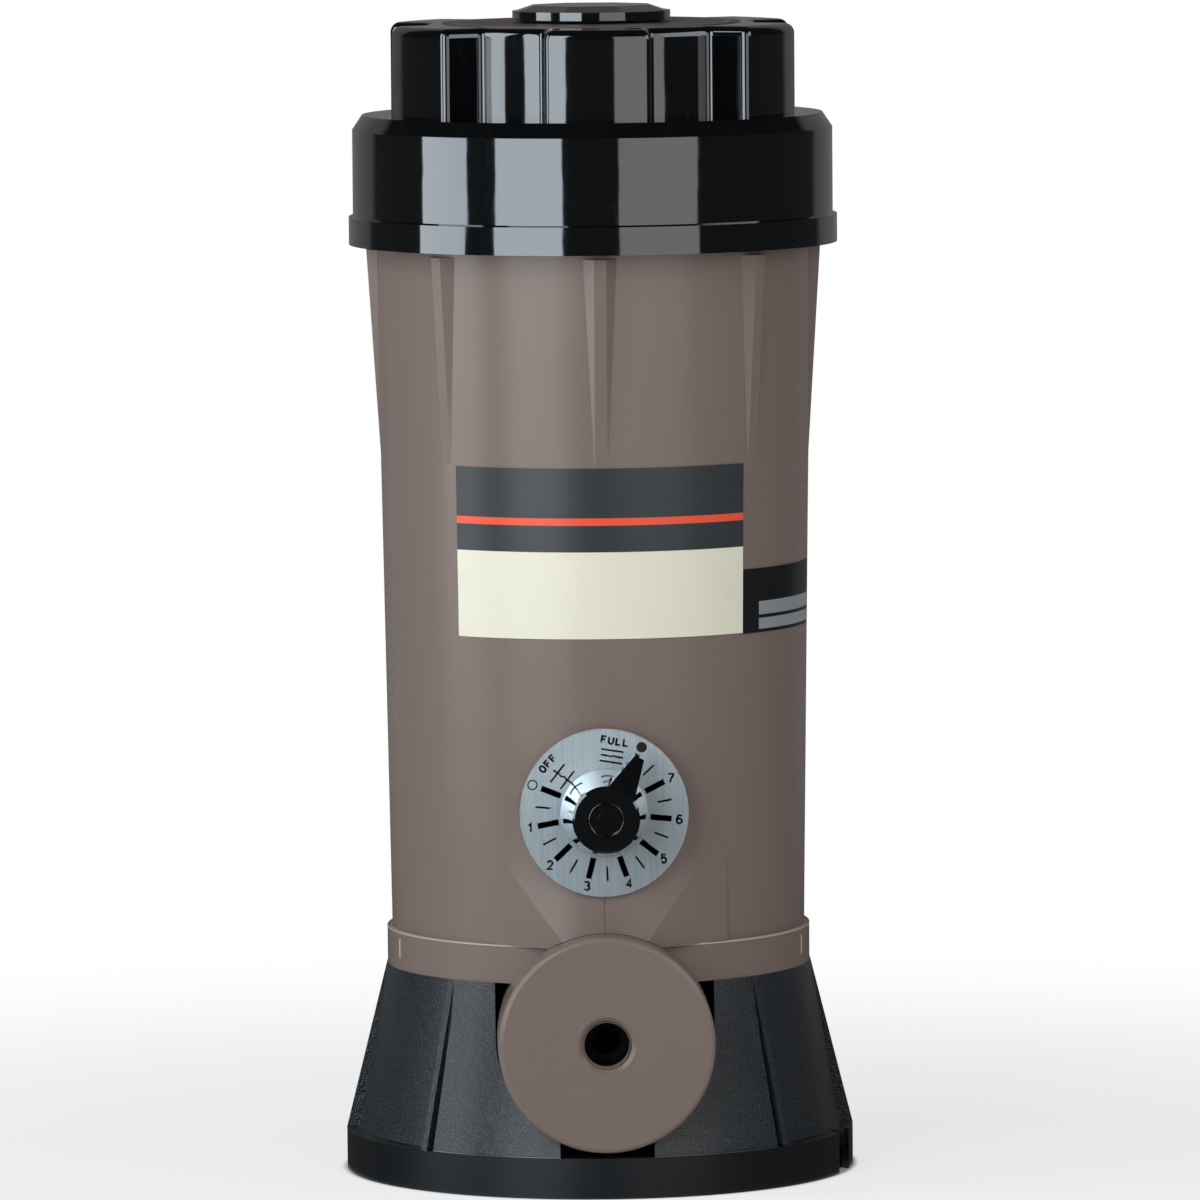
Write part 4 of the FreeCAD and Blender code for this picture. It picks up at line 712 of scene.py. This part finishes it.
def main_label_film(name, settings):
    """Printed film: dark above, a narrow stripe near the dark part's foot, pale below."""
    paint = new_paint(name)
    height = paint.parts()[2]
    soft = 0.12 * MM
    dark_foot = 239.3 * MM
    stripe_foot = 249.2 * MM
    stripe_width = 2.75 * MM
    stripe = height.within(stripe_foot, stripe_foot + stripe_width, soft)
    ground = paint.mix(height.above(dark_foot, soft), settings.label_pale, settings.label_dark)
    mottle = paint.noise(700.0, 3.0, 0.6)
    cloud = paint.noise(26.0, 3.0, 0.5)
    tinted = paint.mix(stripe, ground, settings.label_stripe)
    return paint.surface(
        Base_Color=paint.shaded(tinted, 0.96 + mottle * 0.05 + cloud * 0.03),
        Roughness=0.3 + (cloud - 0.5) * 0.1,
        Normal=paint.bump(cloud, 0.2 * MM),
    )


def side_label_film(name, settings):
    """Dark film with two bare pale fields, placed by angle round the tank and by height."""
    paint = new_paint(name)
    x, y, height = paint.parts()
    around = x.bearing(y * -1.0)
    soft_angle = 0.002
    soft = 0.12 * MM
    field_start = math.radians(47.6)
    field_end = math.radians(79.5)
    across = around.within(field_start, field_end, soft_angle)
    upper = height.within(213.2 * MM, 218.2 * MM, soft)
    lower = height.within(207.8 * MM, 211.9 * MM, soft)
    fields = across * (upper + lower)
    mottle = paint.noise(900.0, 3.0, 0.6)
    tinted = paint.mix(fields, settings.plate_dark, settings.plate_pale)
    return paint.surface(
        Base_Color=paint.shaded(tinted, 0.93 + mottle * 0.1),
        Roughness=0.3 + mottle * 0.08,
        Metallic=fields * 0.4,
    )


def cap_label_film(name, tint):
    """Bare ring label with a thin pale line near its rim."""
    paint = new_paint(name)
    x, y, _ = paint.parts()
    radius = (x * x + y * y) ** 0.5
    line = radius.within(51.2 * MM, 51.8 * MM, 0.15 * MM)
    mottle = paint.noise(420.0, 4.0, 0.65)
    tinted = paint.mix(line * 0.6, tint, display(196, 186, 178))
    return paint.surface(
        Base_Color=paint.shaded(tinted, 0.9 + mottle * 0.16), Roughness=0.34 + mottle * 0.12
    )


def give(material, *names):
    """Gives CAD nodes a material in all their slots."""
    for name in names:
        mesh = NODES[name].data
        mesh.materials.clear()
        mesh.materials.append(material)


# operators


class FEEDER_OT_tank_finish(bpy.types.Operator):
    """Glossy plastic on the tank, the collar, the barrel and its end plates"""

    bl_idname = "feeder.tank_finish"
    bl_label = "Tank finish"

    def execute(self, context):
        settings = context.scene.feeder_finish
        # the tank's seam option adds the painted shade of the parting-line groove
        give(moulded_gloss("tank_gloss_seam_shade", settings.tank, seam=True), "tank")
        give(moulded_gloss("body_gloss", settings.tank), "lower_body")
        # the end plates' ports option adds painted shade in their bores
        plates = moulded_gloss("plate_gloss_port_shade", settings.tank, ports=True)
        give(plates, "front_end_plate", "rear_end_plate")
        return {"FINISHED"}


class FEEDER_OT_cap_finish(bpy.types.Operator):
    """Polished black on the cap and its hub, the ring label's film and the rubber seals"""

    bl_idname = "feeder.cap_finish"
    bl_label = "Cap finish"

    def execute(self, context):
        settings = context.scene.feeder_finish
        give(polished_black("cap_gloss", settings.cap), "cap", "cap_hub")
        give(cap_label_film("cap_label_film", settings.cap_print), "cap_label")
        give(soft_rubber("seal_rubber", settings.rubber), "cap_o_ring", "stem_o_rings", "valve_gasket")
        return {"FINISHED"}


class FEEDER_OT_base_finish(bpy.types.Operator):
    """Grained black on the base skirt and steel on its screws"""

    bl_idname = "feeder.base_finish"
    bl_label = "Base finish"

    def execute(self, context):
        settings = context.scene.feeder_finish
        give(grained_black("base_grain", settings.base), "base_skirt")
        give(turned_steel("screw_steel", display(176, 177, 178)), "base_screws")
        return {"FINISHED"}


class FEEDER_OT_dial_finish(bpy.types.Operator):
    """Brushed metal on the dial plate, bright metal and black plastic on the knob"""

    bl_idname = "feeder.dial_finish"
    bl_label = "Dial finish"

    def execute(self, context):
        settings = context.scene.feeder_finish
        give(brushed_plate("dial_metal", settings.dial), "dial_plate")
        give(bright_metal("bright_metal", settings.bright), "knob_skirt")
        give(polished_black("knob_gloss", settings.cap, 0.12), "dial_knob")
        give(turned_steel("screw_black", display(38, 39, 42)), "knob_screw")
        return {"FINISHED"}


class FEEDER_OT_inner_finish(bpy.types.Operator):
    """Satin plastic on the valve, the grate and the tube inside the tank"""

    bl_idname = "feeder.inner_finish"
    bl_label = "Inner finish"

    def execute(self, context):
        settings = context.scene.feeder_finish
        give(satin_plastic("inner_plastic", settings.inner), "valve_nut", "valve_body", "tablet_grate")
        give(satin_plastic("rotor_plastic", settings.rotor, 0.35), "valve_rotor", "outlet_tube")
        return {"FINISHED"}


class FEEDER_OT_label_finish(bpy.types.Operator):
    """Bare printed films on the main label and the side label"""

    bl_idname = "feeder.label_finish"
    bl_label = "Label finish"

    def execute(self, context):
        settings = context.scene.feeder_finish
        give(main_label_film("main_label_film", settings), "main_label")
        give(side_label_film("side_label_film", settings), "side_label")
        return {"FINISHED"}


class FEEDER_OT_dial_print(bpy.types.Operator):
    """Marks, numbers and the two words printed on the dial"""

    bl_idname = "feeder.dial_print"
    bl_label = "Dial print"

    def execute(self, context):
        p = context.scene.feeder_print
        sheaf = Sheaf()
        sweep = (p.first_mark - p.last_mark - 2 * math.pi) / (p.mark_count - 1)
        turns = [p.first_mark - sweep * i for i in range(p.mark_count)]
        for i, turn in enumerate(turns):
            sheaf.grid(bar(turn, p.mark_inner, p.mark_outer, p.mark_width))
            if i + 1 < p.mark_count:
                between = turn - sweep / 2
                sheaf.grid(bar(between, p.tick_inner, p.tick_outer, p.tick_width))
            if 0 < i < p.mark_count - 1:
                across = p.number_radius * math.cos(turn)
                up = p.number_radius * math.sin(turn)
                number = (p.number_height, p.number_share, 0.0, across, up, 0.0, p.sign_weight)
                for strip in signs(str(i), *number):
                    sheaf.grid(strip)
        ring = annulus(turns[0], p.closed_radius, p.ring_bore, p.dot_radius)
        dot = annulus(turns[-1], p.full_radius, 0.0, p.dot_radius)
        sheaf.grid(ring, closed_v=True)
        sheaf.grid(dot, closed_v=True)
        for text, across, up, tilt in WORDS:
            word = (p.word_height, p.word_share, p.word_pitch)
            place = (across * MM, up * MM, math.radians(tilt))
            for strip in signs(text, *word, *place, p.sign_weight):
                sheaf.grid(strip)
        for across, up, tilt, kinked in LINES:
            place = (across * MM, up * MM, math.radians(tilt))
            swing = p.line_kink if kinked else 0.0
            sheaf.grid(stroke(*place, p.line_length, swing, p.line_weight))
        ink = print_ink("dial_ink", context.scene.feeder_finish.ink)
        made = sheaf.piece("dial_print", "vessel", ink, "dial_metal", smooth=False)
        thicken(made, p.ink_thickness)
        return {"FINISHED"}


class FEEDER_OT_port_threads(bpy.types.Operator):
    """Pipe threads in the mouths of the two ports"""

    bl_idname = "feeder.port_threads"
    bl_label = "Port threads"

    def execute(self, context):
        p = context.scene.feeder_detail
        tint = context.scene.feeder_finish.tank
        # the threads take the same painted shade deep in the ports
        material = moulded_gloss("thread_gloss_port_shade", tint, ports=True)
        for name, node, side in (
            ("front_port_thread", "front_end_plate", -1),
            ("rear_port_thread", "rear_end_plate", 1),
        ):
            face = max(abs(place) for place in span(node, 1)) - p.thread_inset
            flanks = thread_flanks(
                face, p.thread_length, p.thread_radius, p.thread_height, p.thread_pitch, side
            )
            Sheaf().grid(flanks, closed_v=True).piece(name, "vessel", material, "tank_plastic")
        return {"FINISHED"}


class FEEDER_OT_collar_ridges(bpy.types.Operator):
    """Small upright ridges and two fine beads on the collar, in the paler edge colour as a painted
    highlight
    """

    bl_idname = "feeder.collar_ridges"
    bl_label = "Collar ridges"

    def execute(self, context):
        p = context.scene.feeder_detail
        # painted highlight: the ridges and beads take the paler edge colour, standing in for light
        # caught on them
        material = moulded_gloss("ridge_gloss_highlight", context.scene.feeder_finish.edge, 0.18)
        sheaf = Sheaf()
        ridge = (p.ridge_low, p.ridge_high, p.collar_radius, p.ridge_width, p.ridge_height)
        for turn in (-p.ridge_turn, p.ridge_turn):
            sheaf.grid(upright_ridge(turn, *ridge))
        for inset in (p.outer_bead, p.inner_bead):
            bead = hoop(p.collar_radius - inset, p.bead_section, COLLAR_TOP - p.bead_sink)
            sheaf.grid(bead, closed_u=True, closed_v=True)
        sheaf.piece("collar_ridges", "vessel", material, "tank_plastic")
        return {"FINISHED"}


class FEEDER_OT_knob_ring(bpy.types.Operator):
    """Fine raised ring round the middle of the knob's face"""

    bl_idname = "feeder.knob_ring"
    bl_label = "Knob ring"

    def execute(self, context):
        p = context.scene.feeder_detail
        material = polished_black("ring_gloss", context.scene.feeder_finish.cap, 0.15)
        ring = face_ring(p.ring_radius, p.ring_section, span("dial_knob", 1)[0], DIAL_HEIGHT)
        Sheaf().grid(ring, closed_u=True).piece("knob_ring", "dial", material, "black_gloss")
        return {"FINISHED"}


# soft boxes: turn from the camera and width in degrees, foot and top in metres, radiance, tint
SOFT_BOXES = (
    ("side_box", -74.0, 26.0, 0.05, 1.95, 2.9, (0.95, 0.98, 1.0)),
    ("left_box", -30.0, 32.0, 0.05, 1.95, 3.1, (0.95, 0.98, 1.0)),
    ("right_box", 31.0, 38.0, 0.05, 1.3, 1.1, (1.0, 0.93, 0.86)),
    ("high_box", 72.0, 44.0, 0.55, 1.6, 1.5, (0.98, 0.99, 1.0)),
)


class FEEDER_OT_stage(bpy.types.Operator):
    """Pale floor, soft boxes, surroundings and the camera"""

    bl_idname = "feeder.stage"
    bl_label = "Stage"

    def execute(self, context):
        p = context.scene.feeder_stage
        self.floor(p)
        self.surroundings(context.scene)
        for box in SOFT_BOXES:
            self.soft_box(p, *box)
        self.camera(context.scene, p)
        return {"FINISHED"}

    def floor(self, p):
        """A disc, (r cos a, r sin a, 0): lit under the feeder, white where only the floor is seen."""
        a = np.linspace(0, 2 * np.pi, 72, endpoint=False)
        r, a = np.meshgrid([0.0, 0.5, 2.0, p.floor_radius], a, indexing="ij")
        disc = np.stack([r * np.cos(a), r * np.sin(a), np.zeros(r.shape)], -1)
        paint = new_paint("floor_white")
        x, y, _ = paint.parts()
        away = (x * x + y * y) ** 0.5
        near = 1 - away.above(0.45, 0.5)
        outside = away.above(97.0 * MM, 3.0 * MM)
        behind = (y / away).above(0.66, 0.1) * away.above(1.0, 1.0)
        cloud = paint.noise(3.0, 2.0, 0.5)
        diffuse = paint.node(
            "ShaderNodeBsdfDiffuse",
            inputs={"Color": paint.shaded(display(236, 237, 238), 0.98 + cloud * 0.04)},
            output="BSDF",
        )
        camera = paint.node("ShaderNodeLightPath", output="Is Camera Ray")
        glossy = paint.node("ShaderNodeLightPath", output="Is Glossy Ray")
        through = paint.node("ShaderNodeLightPath", output="Is Transmission Ray")
        mirrored = glossy * outside * (1 - behind)
        strength = 1 - glossy * 0.85 - mirrored * 0.12
        white = paint.node(
            "ShaderNodeEmission",
            inputs={"Color": (1, 1, 1, 1), "Strength": strength},
            output="Emission",
        )
        seen = camera.highest(through) * (1 - near * 0.3)
        share = seen.highest(glossy) * outside
        both = paint.node(
            "ShaderNodeMixShader", inputs={"Fac": share, 1: diffuse, 2: white}, output="Shader"
        )
        paint.node("ShaderNodeOutputMaterial", inputs={"Surface": both})
        floor = Sheaf().grid(disc, closed_v=True).built("floor", paint.owner, smooth=False)

    def surroundings(self, scene):
        """White where it is seen, white behind the tank in reflections, and plain grey light."""
        world = bpy.data.worlds.new("surroundings")
        scene.world = world
        paint = Paint(world)
        way = paint.node("ShaderNodeTexCoord", output="Generated")
        depth = paint.node("ShaderNodeSeparateXYZ", inputs={"Vector": way}, output="Y")
        behind = depth.above(0.66, 0.1)
        camera = paint.node("ShaderNodeLightPath", output="Is Camera Ray")
        glossy = paint.node("ShaderNodeLightPath", output="Is Glossy Ray")
        lit = 0.22 * (1 - glossy) + glossy * (0.012 + behind * 0.13)
        level = camera + (1 - camera) * lit
        white = paint.node(
            "ShaderNodeBackground",
            inputs={"Color": (1.0, 1.0, 1.0, 1.0), "Strength": level},
            output="Background",
        )
        paint.node("ShaderNodeOutputWorld", inputs={"Surface": white})

    def soft_box(self, p, name, turn, width, low, high, radiance, tint):
        """An upright soft box seen from the tank at an angle from the camera's side."""
        a = math.radians(turn) - p.camera_turn
        place = Vector((math.sin(a), -math.cos(a), 0.0)) * p.lamp_distance
        place.z = (low + high) / 2
        lamp = bpy.data.lights.new(name, "AREA")
        lamp.shape = "RECTANGLE"
        lamp.size = 2 * p.lamp_distance * math.tan(math.radians(width / 2))
        lamp.size_y = high - low
        lamp.energy = radiance * lamp.size * lamp.size_y * math.pi
        lamp.color = tint
        made = bpy.data.objects.new(name, lamp)
        towards = Vector((0, 0, place.z)) - place
        made.location = place
        made.rotation_euler = towards.to_track_quat("-Z", "Y").to_euler()
        made.visible_camera = False
        bpy.context.scene.collection.objects.link(made)

    def camera(self, scene, p):
        data = bpy.data.cameras.new("camera")
        data.lens = p.camera_lens
        data.sensor_width = 36.0
        data.clip_end = 100.0
        camera = bpy.data.objects.new("camera", data)
        scene.collection.objects.link(camera)
        back = Vector((-math.sin(p.camera_turn), -math.cos(p.camera_turn), 0.0))
        camera.location = back * p.camera_distance + Vector((0, 0, p.camera_height))
        aim = Matrix.Rotation(-p.camera_yaw, 3, "Z") @ -back
        forward = aim * math.cos(p.camera_pitch) - Vector((0, 0, math.sin(p.camera_pitch)))
        turn = forward.to_track_quat("-Z", "Y").to_matrix()
        lean = Matrix.Rotation(-p.camera_roll, 3, "Z")
        camera.rotation_euler = (turn @ lean).to_euler()
        scene.camera = camera
        scene.view_settings.view_transform = "Standard"


PIECES = (
    FEEDER_OT_tank_finish,
    FEEDER_OT_cap_finish,
    FEEDER_OT_base_finish,
    FEEDER_OT_dial_finish,
    FEEDER_OT_inner_finish,
    FEEDER_OT_label_finish,
    FEEDER_OT_dial_print,
    FEEDER_OT_port_threads,
    FEEDER_OT_collar_ridges,
    FEEDER_OT_knob_ring,
    FEEDER_OT_stage,
)


class FEEDER_PT_panel(bpy.types.Panel):
    """Lists the feeder's operators"""

    bl_idname = "FEEDER_PT_panel"
    bl_label = "Chlorine feeder"
    bl_space_type = "VIEW_3D"
    bl_region_type = "UI"
    bl_category = "Feeder"

    def draw(self, context):
        for piece in PIECES:
            self.layout.operator(piece.bl_idname)


CLASSES = (FinishSettings, PrintSettings, DetailSettings, StageSettings, *PIECES, FEEDER_PT_panel)
SETTINGS = {
    "feeder_finish": FinishSettings,
    "feeder_print": PrintSettings,
    "feeder_detail": DetailSettings,
    "feeder_stage": StageSettings,
}


def register():
    for made in CLASSES:
        bpy.utils.register_class(made)
    for name, kind in SETTINGS.items():
        setattr(bpy.types.Scene, name, PointerProperty(type=kind))


def unregister():
    for name in SETTINGS:
        delattr(bpy.types.Scene, name)
    for made in reversed(CLASSES):
        bpy.utils.unregister_class(made)


def main():
    """Makes every piece in order."""
    register()
    for piece in PIECES:
        group, name = piece.bl_idname.split(".")
        getattr(getattr(bpy.ops, group), name)()


if __name__ == "__main__":
    main()
